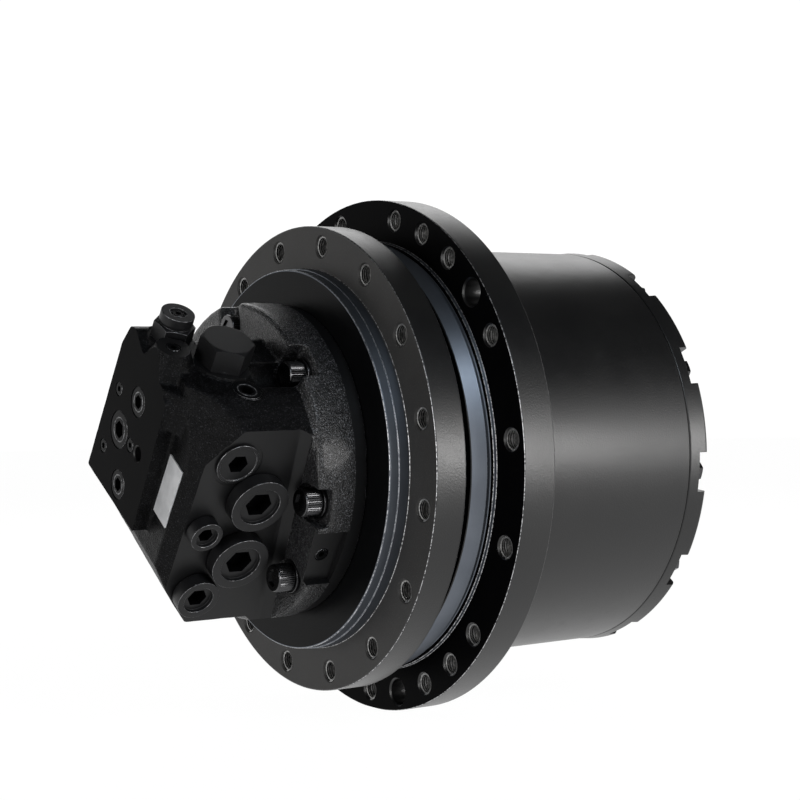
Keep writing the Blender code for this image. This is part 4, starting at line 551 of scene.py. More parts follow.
def block_point(x, toward, up):
    """A point of the port block: along the axis, towards the port side, up its own upright line."""
    return TURNED @ Vector((x, -toward, up))


def facing(at, way):
    """The placing that puts local +X along a way of the port block, from a point of it."""
    turn = Vector((1, 0, 0)).rotation_difference(way).to_matrix().to_4x4()
    return TURNED @ Matrix.Translation(Vector(at)) @ turn


def polar(radius, angle):
    return radius * math.cos(angle), radius * math.sin(angle)


def around(count, first=0.0):
    return [first + k * math.tau / count for k in range(count)]


def rounded(outline, radius):
    """Round the corners of an (along, radius) outline. A closed outline has no end on the axis."""
    closed = outline[0][1] > 0
    last = len(outline) - 1
    made = []
    for k, corner in enumerate(outline):
        here = Vector(corner)
        before = Vector(outline[k - 1]) - here
        after = Vector(outline[(k + 1) % len(outline)]) - here
        if (not closed and k in (0, last)) or before.angle(after) > 2.9:
            made.append(corner)
            continue
        reach = min(radius, before.length * 0.45, after.length * 0.45)
        start = here + before.normalized() * reach
        end = here + after.normalized() * reach
        for t in (0, 1 / 3, 2 / 3, 1):
            made.append(tuple(start * (1 - t) ** 2 + here * 2 * t * (1 - t) + end * t * t))
    return made


def lathe(bm, outline, steps, place=None, look=0):
    """Turn an (along, radius) outline about local X."""
    place = place or Matrix()
    rows = []
    for along, radius in outline:
        if radius < 1e-7:
            rows.append([bm.verts.new(place @ Vector((along, 0, 0)))] * steps)
        else:
            rows.append([bm.verts.new(place @ Vector((along, *polar(radius, a)))) for a in around(steps)])
    if outline[0][1] > 0:
        rows.append(rows[0])
    for near, far in zip(rows, rows[1:]):
        for k in range(steps):
            corners = list(dict.fromkeys((near[k - 1], near[k], far[k], far[k - 1])))
            if len(corners) > 2:
                bm.faces.new(corners).material_index = look


def prism(bm, outline, low, high, to_space, look=0):
    """Push a flat outline from low to high, with its points put in space by a function."""
    ends = [[bm.verts.new(to_space(u, v, w)) for u, v in outline] for w in (low, high)]
    bm.faces.new(ends[0]).material_index = look
    bm.faces.new(reversed(ends[1])).material_index = look
    for k in range(len(outline)):
        bm.faces.new((ends[0][k - 1], ends[0][k], ends[1][k], ends[1][k - 1])).material_index = look


def hexagon(bm, across_flats, low, high, place, look=0, turn=0.0):
    corner = across_flats / 2 / math.cos(math.pi / 6)
    outline = [polar(corner, a) for a in around(6, turn)]
    prism(bm, outline, low, high, lambda u, v, w: place @ Vector((w, u, v)), look)


def solid(bm, name, *looks):
    """A mesh object with outward faces, at the origin."""
    bmesh.ops.remove_doubles(bm, verts=bm.verts, dist=1e-7)
    bmesh.ops.recalc_face_normals(bm, faces=bm.faces)
    mesh = bpy.data.meshes.new(name)
    bm.to_mesh(mesh)
    bm.free()
    for look in looks:
        mesh.materials.append(look)
    made = bpy.data.objects.new(name, mesh)
    bpy.context.scene.collection.objects.link(made)
    return made


def turned(name, outline, steps, *looks, place=None, look=0):
    bm = bmesh.new()
    lathe(bm, outline, steps, place, look)
    return solid(bm, name, *looks)


def pushed(name, outline, low, high, to_space, *looks, look=0):
    bm = bmesh.new()
    prism(bm, outline, low, high, to_space, look)
    return solid(bm, name, *looks)


def settle(piece):
    """Turn a piece's modifiers into plain mesh."""
    graph = bpy.context.evaluated_depsgraph_get()
    mesh = bpy.data.meshes.new_from_object(piece.evaluated_get(graph), depsgraph=graph)
    piece.modifiers.clear()
    piece.data = mesh
    mesh.name = piece.name
    return piece


def combine(piece, operation, helper, solver="EXACT"):
    """Cut, join or intersect with a helper solid, which goes afterwards."""
    group = bpy.data.collections.new("helpers")
    bpy.context.scene.collection.children.link(group)
    group.objects.link(helper)
    modifier = piece.modifiers.new("combine", "BOOLEAN")
    modifier.operation = operation
    modifier.operand_type = "COLLECTION"
    modifier.collection = group
    modifier.solver = solver
    settle(piece)
    bpy.data.objects.remove(helper)
    bpy.data.collections.remove(group)
    return piece


def show(piece, body, slot, *nodes, crease=34):
    """Shade a finished piece, and let it ride on its body in place of its solids."""
    piece.data.shade_smooth()
    piece.data.set_sharp_from_angle(angle=math.radians(crease))
    piece.modifiers.new("flat faces stay flat", "WEIGHTED_NORMAL").keep_sharp = True
    settle(piece)
    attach(piece, body)
    if nodes:
        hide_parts(*nodes)


def paint_where(piece, index, test):
    """Give the faces that pass a test another of the piece's finishes."""
    for face in piece.data.polygons:
        if test(face.center, face.normal):
            face.material_index = index


class Recipe:
    """A Geometry Nodes tree with named inputs."""

    def __init__(self, name, **inputs):
        self.tree = bpy.data.node_groups.new(name, "GeometryNodeTree")
        make = self.tree.interface.new_socket
        make("Geometry", in_out="OUTPUT", socket_type="NodeSocketGeometry")
        self.sockets = {}
        for label, kind in {"Geometry": "Geometry", **inputs, "finish": "Material"}.items():
            self.sockets[label] = make(label, in_out="INPUT", socket_type="NodeSocket" + kind).identifier
        self.given = self.tree.nodes.new("NodeGroupInput").outputs
        self.result = self.tree.nodes.new("NodeGroupOutput").inputs[0]

    def add(self, kind, sockets=None, out=0, **settings):
        return add_node(self.tree, kind, sockets, **settings).outputs[out]

    def math(self, operation, first, second):
        return self.add("ShaderNodeMath", {0: first, 1: second}, operation=operation)

    def along_x(self, geometry):
        """Geometry that was made along Z, laid along X."""
        return self.add("GeometryNodeTransform", {"Geometry": geometry, "Rotation": (0, math.pi / 2, 0)})

    def end(self, instance, **sockets):
        """Put the instance on every point, as plain mesh with its finish."""
        sockets.update(Points=self.given["Geometry"], Instance=instance)
        placed = self.add("GeometryNodeInstanceOnPoints", sockets)
        real = self.add("GeometryNodeRealizeInstances", {0: placed})
        painted = self.add("GeometryNodeSetMaterial", {"Geometry": real, "Material": self.given["finish"]})
        self.tree.links.new(painted, self.result)
        return self

    def grow(self, name, points, **values):
        """Grow the tree on points, each with its turn about the drive axis, and keep the plain mesh."""
        mesh = bpy.data.meshes.new(name)
        mesh.from_pydata([point[:3] for point in points], [], [])
        turns = mesh.attributes.new("turn", "FLOAT", "POINT")
        for k, point in enumerate(points):
            turns.data[k].value = point[3]
        piece = bpy.data.objects.new(name, mesh)
        bpy.context.scene.collection.objects.link(piece)
        modifier = piece.modifiers.new(name, "NODES")
        modifier.node_group = self.tree
        for label, value in values.items():
            modifier[self.sockets[label]] = value
        return settle(piece)


def thread_recipe():
    """The ridge of an inside thread, on every point and along X."""
    recipe = Recipe("inside_thread", hole_radius="Float", pitch="Float", length="Float", ridge="Float")
    given = recipe.given
    turns = recipe.math("DIVIDE", given["length"], given["pitch"])
    helix = recipe.add("GeometryNodeCurveSpiral", {
        "Resolution": 22, "Rotations": turns, "Start Radius": given["hole_radius"],
        "End Radius": given["hole_radius"], "Height": given["length"],
    })
    section = recipe.add("GeometryNodeCurvePrimitiveCircle", {"Resolution": 3, "Radius": given["ridge"]})
    sockets = {"Curve": helix, "Profile Curve": section, "Fill Caps": True}
    return recipe.end(recipe.along_x(recipe.add("GeometryNodeCurveToMesh", sockets)))


def copies_recipe():
    """A copy of one piece on every point, turned about X by the point's turn."""
    recipe = Recipe("copies_on_points", piece="Object")
    piece = recipe.add("GeometryNodeObjectInfo", {"Object": recipe.given["piece"]}, out="Geometry")
    turn = recipe.add("GeometryNodeInputNamedAttribute", {"Name": "turn"}, data_type="FLOAT")
    return recipe.end(piece, Rotation=recipe.add("ShaderNodeCombineXYZ", {0: turn}))


def knurl_recipe():
    """A straight-knurled band along X on every point."""
    recipe = Recipe("knurled_band", radius="Float", length="Float", depth="Float", flutes="Int")
    given = recipe.given
    sides = recipe.math("MULTIPLY", given["flutes"], 2.0)
    sockets = {"Vertices": sides, "Radius": given["radius"], "Depth": given["length"]}
    band = recipe.add("GeometryNodeMeshCylinder", sockets, out="Mesh")
    odd = recipe.math("MODULO", recipe.add("GeometryNodeInputIndex"), 2.0)
    share = recipe.math("DIVIDE", given["depth"], given["radius"])
    scale = recipe.math("SUBTRACT", 1.0, recipe.math("MULTIPLY", odd, share))
    place = recipe.add("GeometryNodeInputPosition")
    drawn = recipe.add("ShaderNodeVectorMath", {0: place, "Scale": scale}, operation="SCALE")
    parts = add_node(recipe.tree, "ShaderNodeSeparateXYZ", {0: drawn}).outputs
    height = add_node(recipe.tree, "ShaderNodeSeparateXYZ", {0: place}).outputs[2]
    moved = recipe.add("ShaderNodeCombineXYZ", {0: parts[0], 1: parts[1], 2: height})
    band = recipe.add("GeometryNodeSetPosition", {"Geometry": band, "Position": moved})
    return recipe.end(recipe.along_x(band))


def drilled(name, start, end, holes, looks):
    """Round through holes along X with both mouths chamfered, each with its centre and radius."""
    bm = bmesh.new()
    for at, radius in holes:
        mouth = radius + HOLE_CHAMFER + HOLE_BEYOND
        lathe(bm, [(start - HOLE_BEYOND, 0), (start - HOLE_BEYOND, mouth), (start + HOLE_CHAMFER, radius),
                   (end - HOLE_CHAMFER, radius), (end + HOLE_BEYOND, mouth), (end + HOLE_BEYOND, 0)],
              STEPS_SMALL, Matrix.Translation((0, *at)))
    return solid(bm, name, *looks)


def cut_threads(name, start, end, places, body, slot):
    """The thread ridges of tapped holes between two faces of a flange."""
    points = [(start + THREAD_INSET, *at, 0) for at in places]
    threads = THREADS.grow(name, points, hole_radius=TAPPED_R - 0.1 * MM, pitch=THREAD_PITCH,
                           length=end - start - 2 * THREAD_INSET, ridge=THREAD_RIDGE, finish=CUT_THREAD)
    show(threads, body, slot)


def sprocket_holes():
    """The plain and the tapped places of the sprocket flange."""
    plain, tapped = [], []
    for first in around(3, SPROCKET_PLAIN_FIRST):
        plain.append(polar(SPROCKET_HOLE_CIRCLE_R, first))
        tapped += [polar(SPROCKET_HOLE_CIRCLE_R, first + math.radians(a)) for a in SPROCKET_TAPPED_AFTER]
    return plain, tapped


def from_axis(point):
    return math.hypot(point.y, point.z)


def broken_edge(centre, normal, radius):
    """Whether a face lies on the rounding of an outer edge at this radius."""
    return abs(from_axis(centre) - radius) < 1.2 * MM and 0.2 < abs(normal.x) < 0.93


def make_spindle():
    outline = [
        (-PILOT_LENGTH, PILOT_R), (-PILOT_ROOT_LENGTH, PILOT_R), (-PILOT_ROOT_LENGTH, PILOT_ROOT_R),
        (0, PILOT_ROOT_R), (0, MOUNT_FLANGE_R), (MOUNT_FLANGE_T, MOUNT_FLANGE_R),
        (MOUNT_FLANGE_T, SEAL_POCKET_R), (SEAL_POCKET_X, SEAL_POCKET_R), (SEAL_POCKET_X, NECK_R),
        (NECK_END, NECK_R), (NECK_END, CONE_SHOULDER_R),
        (NOSE_START, CONE_SHOULDER_R), (NOSE_START, NOSE_R), (NOSE_END, NOSE_R), (NOSE_END, SHAFT_PASSAGE_R),
        (SHAFT_SEAT_X, SHAFT_PASSAGE_R), (SHAFT_SEAT_X, SHAFT_SEAT_R), (CAVITY_END, SHAFT_SEAT_R),
        (CAVITY_END, BRAKE_BORE_R), (BRAKE_SHOULDER_X, BRAKE_BORE_R), (BRAKE_SHOULDER_X, CAVITY_R),
        (-PILOT_LENGTH, CAVITY_R),
    ]
    looks = (FLANGE_PAINT, MACHINED_PAINT, TURNED_BLACK, BARREL_PAINT, WORN_EDGE_AND_PAINTED_HIGHLIGHT)
    spindle = turned("spindle_casting", rounded(outline, TURNED_ROUNDING), STEPS_LARGE, *looks)
    places = [polar(MOUNT_HOLE_CIRCLE_R, a) for a in around(MOUNT_HOLES, MOUNT_HOLE_FIRST)]
    holes = [(at, TAPPED_R) for at in places]
    combine(spindle, "DIFFERENCE", drilled("mount_holes", 0, MOUNT_FLANGE_T, holes, looks))
    pilot_side = PILOT_R - 3 * MM
    paint_where(spindle, 1, lambda c, n: c.x < -1 * MM and from_axis(c) > pilot_side)
    paint_where(spindle, 2, lambda c, n: c.x > 1 * MM and from_axis(c) < MOUNT_FLANGE_R - 2 * MM
                or c.x < -1 * MM and from_axis(c) < pilot_side)
    paint_where(spindle, 3, lambda c, n: from_axis(c) > MOUNT_FLANGE_R - 0.9 * MM)
    # The rounded rims get the worn-edge finish: rubbed paint, and a painted highlight.
    paint_where(spindle, 4, lambda c, n: broken_edge(c, n, MOUNT_FLANGE_R) or broken_edge(c, n, PILOT_R))
    show(spindle, "frame_side", "frame_flange_paint", "spindle")
    cut_threads("mount_threads", 0, MOUNT_FLANGE_T, places, "frame_side", "frame_flange_paint")


def make_hub():
    groove = HUB_FRONT + COLLAR_BAND
    outline = [
        (HUB_FRONT, COLLAR_R - COLLAR_TAPER), (groove, COLLAR_R), (groove, COLLAR_GROOVE_R),
        (groove + COLLAR_GROOVE, COLLAR_GROOVE_R), (groove + COLLAR_GROOVE, COLLAR_R),
        (SPROCKET_FACE, COLLAR_R), (SPROCKET_FACE, SPROCKET_FLANGE_R), (BARREL_START, SPROCKET_FLANGE_R),
        (BARREL_START, BARREL_R + BARREL_FILLET), (BARREL_START + BARREL_FILLET, BARREL_R),
        (COVER_JOINT, BARREL_R), (COVER_JOINT, RING_RELIEF_R), (CUP_FRONT_END, RING_RELIEF_R),
        (CUP_FRONT_END, CUP_R), (CUP_FRONT_START, CUP_R), (CUP_FRONT_START, CUP_SHOULDER_R),
        (CUP_REAR_END, CUP_SHOULDER_R), (CUP_REAR_END, CUP_R), (NOSE_START, CUP_R),
        (NOSE_START, SEAL_RING_IN_R),
        (HUB_SEAL_END, SEAL_RING_IN_R), (HUB_SEAL_END, SEAL_POCKET_R), (HUB_FRONT, SEAL_POCKET_R),
    ]
    looks = (BARREL_PAINT, MACHINED_PAINT, BLACK_FACE_AND_SOCKET_SHADE, WORN_EDGE_AND_PAINTED_HIGHLIGHT)
    hub = turned("drum_casting", rounded(outline, TURNED_ROUNDING), STEPS_LARGE, *looks)
    plain, tapped = sprocket_holes()
    holes = [(at, SPROCKET_PLAIN_R) for at in plain] + [(at, TAPPED_R) for at in tapped]
    combine(hub, "DIFFERENCE", drilled("flange_holes", SPROCKET_FACE, BARREL_START, holes, looks))
    paint_where(hub, 1, lambda c, n: HUB_FRONT + 1 * MM < c.x < SPROCKET_FACE - 0.2 * MM
                and from_axis(c) > COLLAR_GROOVE_R - 1 * MM)
    paint_where(hub, 2, lambda c, n: n.x < -0.9 and c.x < SPROCKET_FACE + 1 * MM)
    # The rounded rims get the worn-edge finish: rubbed paint, and a painted highlight.
    paint_where(hub, 3, lambda c, n: broken_edge(c, n, SPROCKET_FLANGE_R)
                or c.x > HUB_FRONT + 8 * MM and broken_edge(c, n, COLLAR_R))
    show(hub, "drum", "drum_paint", "hub")
    cut_threads("sprocket_threads", SPROCKET_FACE, BARREL_START, tapped, "drum", "drum_paint")


def involute_half(radius):
    """Half the angle that a tooth space of the ring gear fills at a radius."""
    base = RING_PITCH_R * math.cos(PRESSURE_ANGLE)
    there = math.acos(min(1.0, base / radius))
    spread = math.tan(PRESSURE_ANGLE) - PRESSURE_ANGLE - (math.tan(there) - there)
    return math.pi / (2 * RING_TEETH) + spread + TOOTH_PLAY / 2 / RING_PITCH_R


def ring_teeth_outline():
    """Inside outline of the ring gear, eight points a tooth."""
    radii = [RING_PITCH_R + share * GEAR_MODULE for share in (-1, -0.4, 0.4, 1.2)]
    outline = []
    for middle in around(RING_TEETH):
        outline += [polar(r, middle - involute_half(r)) for r in radii]
        outline += [polar(r, middle + involute_half(r)) for r in reversed(radii)]
    return outline


def make_ring_gear():
    """The teeth inside the barrel, between two flat ends."""
    bm = bmesh.new()
    outer = [polar(RING_RELIEF_R + 0.5 * MM, a) for a in around(RING_TEETH * 8)]
    inner = ring_teeth_outline()
    rear_out, rear_in, front_out, front_in = (
        [bm.verts.new((x, y, z)) for y, z in loop] for x in (RING_START, RING_END) for loop in (outer, inner)
    )
    sides = ((rear_out, front_out), (front_in, rear_in), (rear_in, rear_out), (front_out, front_in))
    for near, far in sides:
        for k in range(len(near)):
            bm.faces.new((near[k - 1], near[k], far[k], far[k - 1]))
    show(solid(bm, "ring_gear_teeth", GEAR_STEEL), "drum", "gear_steel")


def slot_outline(radius, steps):
    """A slot with one round end, open outwards."""
    ends = [math.pi / 2 + math.pi * k / steps for k in range(steps + 1)]
    return [(SLOT_REACH, -radius), (SLOT_REACH, radius)] + [polar(radius, a) for a in ends]


def open_slots(name, centres, radius, steps, low, high, look):
    """Slots cut along X and open outwards, at (radius, angle) centres."""
    bm = bmesh.new()
    for reach, angle in centres:
        place = Matrix.Rotation(angle, 4, "X") @ Matrix.Translation((0, reach, 0))
        prism(bm, slot_outline(radius, steps), low, high, lambda u, v, w, p=place: p @ Vector((w, u, v)))
    return solid(bm, name, look)


def make_cover():
    rim = BARREL_R - COVER_RIM_WIDTH
    joint = COVER_JOINT + 0.3 * MM
    outline = [
        (BUTTON_SEAT_X, 0), (BUTTON_SEAT_X, BUTTON_SEAT_R), (joint, BUTTON_SEAT_R), (joint, 0.1205),
        (SPIGOT_END, 0.1235), (SPIGOT_END, SPIGOT_R), (joint, SPIGOT_R), (joint, BARREL_R),
        (COVER_TOP - 3 * MM, BARREL_R + 1.5 * MM), (COVER_TOP, BARREL_R - 1.5 * MM), (COVER_TOP, rim),
        (COVER_FACE, rim - 6 * MM), (COVER_FACE, 0),
    ]
    cover = turned("end_cover", rounded(outline, 1.3 * MM), STEPS_LARGE, BARREL_PAINT)
    angles = around(COVER_BOLTS, COVER_BOLT_FIRST)
    centres = [(COVER_BOLT_CIRCLE_R, angle) for angle in angles]
    notches = open_slots("bolt_notches", centres, COVER_NOTCH_R, 14, COVER_NOTCH_FLOOR, 0.30, BARREL_PAINT)
    combine(cover, "DIFFERENCE", notches)
    soften(cover, 0.9 * MM, angle=50)
    show(cover, "drum", "drum_paint", "cover")

    crown = turned("bolt_crown", rounded([
        (-4 * MM, 0), (-4 * MM, 12 * MM), (5.4 * MM, 12 * MM), (6.8 * MM, 8.4 * MM), (6.8 * MM, 0),
    ], 0.3 * MM), STEPS_SMALL, DARK_OXIDE)
    bm = bmesh.new()
    hexagon(bm, COVER_BOLT_ACROSS_FLATS, -3 * MM, 7 * MM, Matrix())
    head = combine(solid(bm, "bolt_head", DARK_OXIDE), "INTERSECT", crown)
    combine(head, "UNION", turned("bolt_washer_face", rounded([
        (-3 * MM, 0), (-3 * MM, 11.2 * MM), (0.9 * MM, 11.2 * MM), (1.3 * MM, 9 * MM), (1.3 * MM, 0),
    ], 0.3 * MM), STEPS_SMALL, DARK_OXIDE))
    points = [(COVER_NOTCH_FLOOR, *polar(COVER_BOLT_CIRCLE_R, a), a + 0.3 * k) for k, a in enumerate(angles)]
    bolts = COPIES.grow("cover_bolts", points, piece=head, finish=DARK_OXIDE)
    bpy.data.objects.remove(head)
    show(bolts, "drum", "fastener")

    outline = rounded([
        (-4 * MM, 0), (-4 * MM, 12.5 * MM), (1.8 * MM, 12.5 * MM), (1.8 * MM, 9.4 * MM), (0.9 * MM, 9.0 * MM),
        (0.9 * MM, 0),
    ], 0.4 * MM)
    bodies, sockets = bmesh.new(), bmesh.new()
    for angle in COVER_PLUG_ANGLES:
        place = Matrix.Translation((COVER_FACE, *polar(COVER_PLUG_CIRCLE_R, math.radians(angle))))
        lathe(bodies, outline, STEPS_SMALL, place)
        hexagon(sockets, COVER_PLUG_SOCKET, -3.4 * MM, 6 * MM, place)
    plugs = solid(bodies, "oil_plugs", PLUG_COAT)
    combine(plugs, "DIFFERENCE", solid(sockets, "oil_plug_sockets", PLUG_COAT))
    show(plugs, "drum", "plug")


def make_seal_rings():
    for side, name, body in ((-1, "seal_ring_fixed", "frame_side"), (1, "seal_ring_hub", "drum")):
        near = SEAL_MIDDLE + side * 0.2 * MM
        lip = SEAL_MIDDLE + side * 5.5 * MM
        far = SEAL_MIDDLE + side * 18.7 * MM
        outline = [(near, SEAL_RING_IN_R), (near, SEAL_LIP_R), (lip, SEAL_LIP_R),
                   (lip + side * MM, SEAL_RING_R), (far, SEAL_RING_R), (far, SEAL_RING_IN_R)]
        ring = turned(name + "_ground", rounded(outline, 0.5 * MM), STEPS_LARGE, GROUND_STEEL)
        show(ring, body, "steel", name)


def corner_cutter():
    """All that lies outside the slanted corner plane of the block."""
    a, b, c = (Vector((x, -toward, up)) for x, toward, up in CORNER_PLANE)
    out = (b - a).cross(c - a).normalized()
    out = -out if out.dot(a) < 0 else out
    side = (b - a).normalized()
    place = Matrix.Translation((a + b + c) / 3) @ Matrix((out, side, out.cross(side))).transposed().to_4x4()
    square = [(-0.06, -0.06), (0.06, -0.06), (0.06, 0.06), (-0.06, 0.06)]
    return pushed("corner", square, 0, 0.1, lambda u, v, w: TURNED @ place @ Vector((w, u, v)), CAST_PAINT)


def from_end(u, v, w):
    """A section of the block seen along the axis: towards the port side, up, then along."""
    return block_point(w, u, v)


def from_port(u, v, w):
    """A side view of the block seen from its port side: along, up, then towards it."""
    return block_point(u, w, v)


def end_place(at):
    return facing((END_X, -at[0], at[1]), -END_WAY)


def port_place(at, way):
    return facing((at[0], -PORT_FACE, at[1]), way)


def top_place(at):
    return facing((at[0], -at[1], 0), UP_WAY)


def cast(name, outline, low, high, to_space=from_end):
    return pushed(name, outline, low, high, to_space, CAST_PAINT)


def block_solids():
    """The cast shapes of the port block, each a closed solid."""
    rear = -0.0173
    flange = [
        (-0.0446, 0), (-0.0446, 0.0129), (-0.0396, 0.0129), (-0.0396, 0.0184), (-0.0182, 0.0184),
        (-0.0182, 0.0189), (-0.0093, 0.0189), (-0.0093, 0.059), (rear, 0.059), (rear, 0.089),
        (-0.0207, 0.089), (-0.0207, 0.0945), (rear, 0.0945), (rear, BLOCK_BAND_R),
        (BLOCK_BAND_END, BLOCK_BAND_R + 2 * MM), (BLOCK_BAND_END, BLOCK_FLANGE_R),
        (BLOCK_FLANGE_FRONT + BLOCK_FILLET, BLOCK_FLANGE_R),
        (BLOCK_FLANGE_FRONT, BLOCK_FLANGE_R - BLOCK_FILLET), (BLOCK_FLANGE_FRONT, 0),
    ]
    found = [turned("block_flange", flange, 192, CAST_PAINT)]
    body = cast("block_body", BODY_SECTION, LABEL_X, -0.049)
    combine(body, "INTERSECT", cast("side_view", BODY_SIDE_VIEW, 0.09, -0.08, from_port))
    for name, wedge in (("label_bevel", LABEL_BEVEL), ("far_bevel", FAR_BEVEL)):
        combine(body, "DIFFERENCE", cast(name, wedge, -0.15, 0.15, block_point))
    corner = cast("block_corner", BLOCK_CORNER, *BLOCK_CORNER_HEIGHTS, block_point)
    found += [combine(piece, "DIFFERENCE", corner_cutter()) for piece in (body, corner)]
    found.append(cast("block_root", BLOCK_ROOT, -0.085, 0.085, block_point))
    found.append(cast("block_end", END_SECTION, END_X - 3 * MM, LABEL_X + 6 * MM))
    found.append(cast("block_shoulder", BLOCK_SHOULDER, END_X - 3 * MM, -0.128))
    for name, at, low, wide, top, high in (
        ("cap_seat", SPOOL_AT, 0.08, 0.0268, 0.0228, SEAT_HEIGHT),
        ("relief_seat", RELIEF_AT, 0.07, 0.0198, 0.0168, SEAT_HEIGHT),
        ("plug_boss", BOSS_PLUG, 0.076, 0.0275, BOSS_R - 1.0 * MM, BOSS_PLUG_TOP),
    ):
        cone = [(low, 0), (low, wide), (high + 2 * MM, top), (high + 2 * MM, 0)]
        found.append(turned(name, cone, 64, CAST_PAINT, place=top_place(at)))
    return found


def screw_places():
    return [polar(SCREW_CIRCLE_R, BLOCK_TURN + math.pi + math.radians(a)) for a in SCREW_ANGLES]


def cast_skin(looks):
    """The cast shapes melted into one skin with soft corners and a sand-cast unevenness."""
    skin = bmesh.new()
    centres = [(SCREW_CIRCLE_R, math.atan2(z, y)) for y, z in screw_places()]
    for piece in block_solids():
        niches = open_slots("pockets", centres, POCKET_R, 24, POCKET_FRONT, SCREW_SEAT_X, CAST_PAINT)
        combine(piece, "DIFFERENCE", niches)
        skin.from_mesh(piece.data)
        bpy.data.objects.remove(piece)
    mesh = bpy.data.meshes.new("port_block_casting")
    skin.to_mesh(mesh)
    skin.free()
    for look in looks:
        mesh.materials.append(look)
    block = bpy.data.objects.new("port_block_casting", mesh)
    bpy.context.scene.collection.objects.link(block)
    remesh = block.modifiers.new("cast skin", "REMESH")
    remesh.mode = "VOXEL"
    remesh.voxel_size = 1.75 * MM
    smooth = block.modifiers.new("cast corners", "SMOOTH")
    smooth.factor = 0.5
    smooth.iterations = 2
    settle(block)
    places = []
    for vertex in block.data.vertices:
        rise = noise.noise(vertex.co / (9 * MM)) * 0.22 * MM + noise.noise(vertex.co / (3.2 * MM)) * 0.1 * MM
        places.extend(vertex.co + vertex.normal * rise)
    block.data.vertices.foreach_set("co", places)
    block.data.update()
    return block


def block_bores(looks):
    """Cutters of the screw seats, the plug bores and the two valve bores."""
    bore = 7.5 * MM
    spot = [(SCREW_SEAT_X - 5 * MM, 0), (SCREW_SEAT_X - 5 * MM, SPOT_FACE_R),
            (SCREW_SEAT_X + 0.2 * MM, SPOT_FACE_R), (SCREW_SEAT_X + 0.2 * MM, bore), (-0.01, bore),
            (-0.01, 0)]
    spots = [(spot, STEPS_SMALL, Matrix.Translation((0, y, z))) for y, z in screw_places()]
    plugs = []
    for at, radius, _ in PORT_PLUGS.values():
        shank = radius * SHANK_SHARE + 0.3 * MM
        outline = [(-0.02, 0), (-0.02, shank), (PLUG_DEPTH, shank), (PLUG_DEPTH, 0)]
        plugs.append((outline, STEPS_SMALL, port_place(at, -PORT_WAY)))
    ring = [(-0.02, 0.0165), (-0.02, 0.0196), (0.35 * MM, 0.0196), (0.35 * MM, 0.0165)]
    plugs.append((ring, STEPS_MEDIUM, port_place(PORT_PLUGS["drain_plug_upper"][0], -PORT_WAY)))
    tapped = [(-0.9 * MM, 0), (-0.9 * MM, END_TAPPED_R + 1.8 * MM), (0.9 * MM, END_TAPPED_R),
              (0.012, END_TAPPED_R), (0.012, 0)]
    plugs.append((tapped, STEPS_SMALL, end_place(END_TAPPED)))
    for place, radius in socket_plug_places():
        outline = [(-0.004, 0), (-0.004, radius + 0.9 * MM), (0.006, radius + 0.9 * MM), (0.006, 0)]
        plugs.append((outline, STEPS_SMALL, place))
    shank = CAP_SHANK_R + 0.3 * MM
    spool = [(-0.066, 0), (-0.066, SPOOL_R), (0.083, SPOOL_R), (0.083, shank), (0.13, shank), (0.13, 0)]
    relief = [(0.0627, 0), (0.0627, 0.0113), (0.13, 0.0113), (0.13, 0)]
    valves = [(spool, STEPS_SMALL, top_place(SPOOL_AT)), (relief, STEPS_SMALL, top_place(RELIEF_AT))]
    made = []
    for name, tools in (("spot_faces", spots), ("plug_bores", plugs), ("valve_bores", valves)):
        bm = bmesh.new()
        for outline, steps, place in tools:
            lathe(bm, outline, steps, place, 1)
        made.append(solid(bm, name, *looks))
    return made


def make_port_block():
    """Cast skin first, then the machined faces and bores cut into it."""
    looks = (CAST_PAINT, MILLED_PAINT, CAST_PAINT_PAINTED_SHADE, BLACK_FACE_AND_SOCKET_SHADE)
    block = cast_skin(looks)
    slope = PORT_CHAMFER / PORT_STEP

    def sloping(u, v, w):
        return block_point(u + max(0.0, w - PORT_FACE) * slope * (u > PORT_CUT_NEAR), w, v)

    def set_back(u, v, w):
        return block_point(u + PORT_CHAMFER * (u > PORT_CUT_NEAR), w, v)

    square = [(-0.09, -0.09), (0.09, -0.09), (0.09, 0.14), (-0.09, 0.14)]
    flat = [(SIDE_FLAT, -0.0245), (SIDE_FLAT, 0.0245), (0.14, 0.0245), (0.14, -0.0245)]
    band = [(BLOCK_BAND_END, 0.15), (-0.010, 0.15), (-0.010, BLOCK_BAND_R), (BLOCK_BAND_END, BLOCK_BAND_R)]
    port_top = PORT_FACE + PORT_STEP
    cuts = [
        pushed("port_face_cut", PORT_CUT, port_top, PORT_FACE, sloping, *looks, look=1),
        pushed("port_side_cut", PORT_CUT, 0.14, port_top - 0.1 * MM, set_back, *looks),
        pushed("end_face_cut", square, -0.19, END_X, from_end, *looks, look=3),
        pushed("side_flat_cut", flat, BLOCK_FLANGE_FRONT - 0.01, BLOCK_BAND_END, from_end, *looks, look=1),
        turned("rim_cut", band, 256, *looks, look=1),
    ]
    for name, at, radius, top in (
        ("spool_seat", SPOOL_AT, 0.025, SEAT_HEIGHT),
        ("plug_seat", BOSS_PLUG, 0.014, BOSS_PLUG_TOP),
        ("relief_seat", RELIEF_AT, 0.0175, SEAT_HEIGHT),
    ):
        disc = [(top, 0), (top, radius), (top + 0.02, radius), (top + 0.02, 0)]
        cuts.append(turned(name, disc, 64, *looks, place=top_place(at), look=1))
    for cutter in cuts + block_bores(looks):
        combine(block, "DIFFERENCE", cutter, solver="MANIFOLD")
    # Cast faces beyond the flange front get the darker copy of the cast paint: painted shade on the block's
    # sides.
    for face in block.data.polygons:
        if face.material_index == 0 and face.center.x < BLOCK_FLANGE_FRONT - 2 * MM:
            face.material_index = 2
    show(block, "frame_side", "rough_cast_paint", "port_block", crease=38)


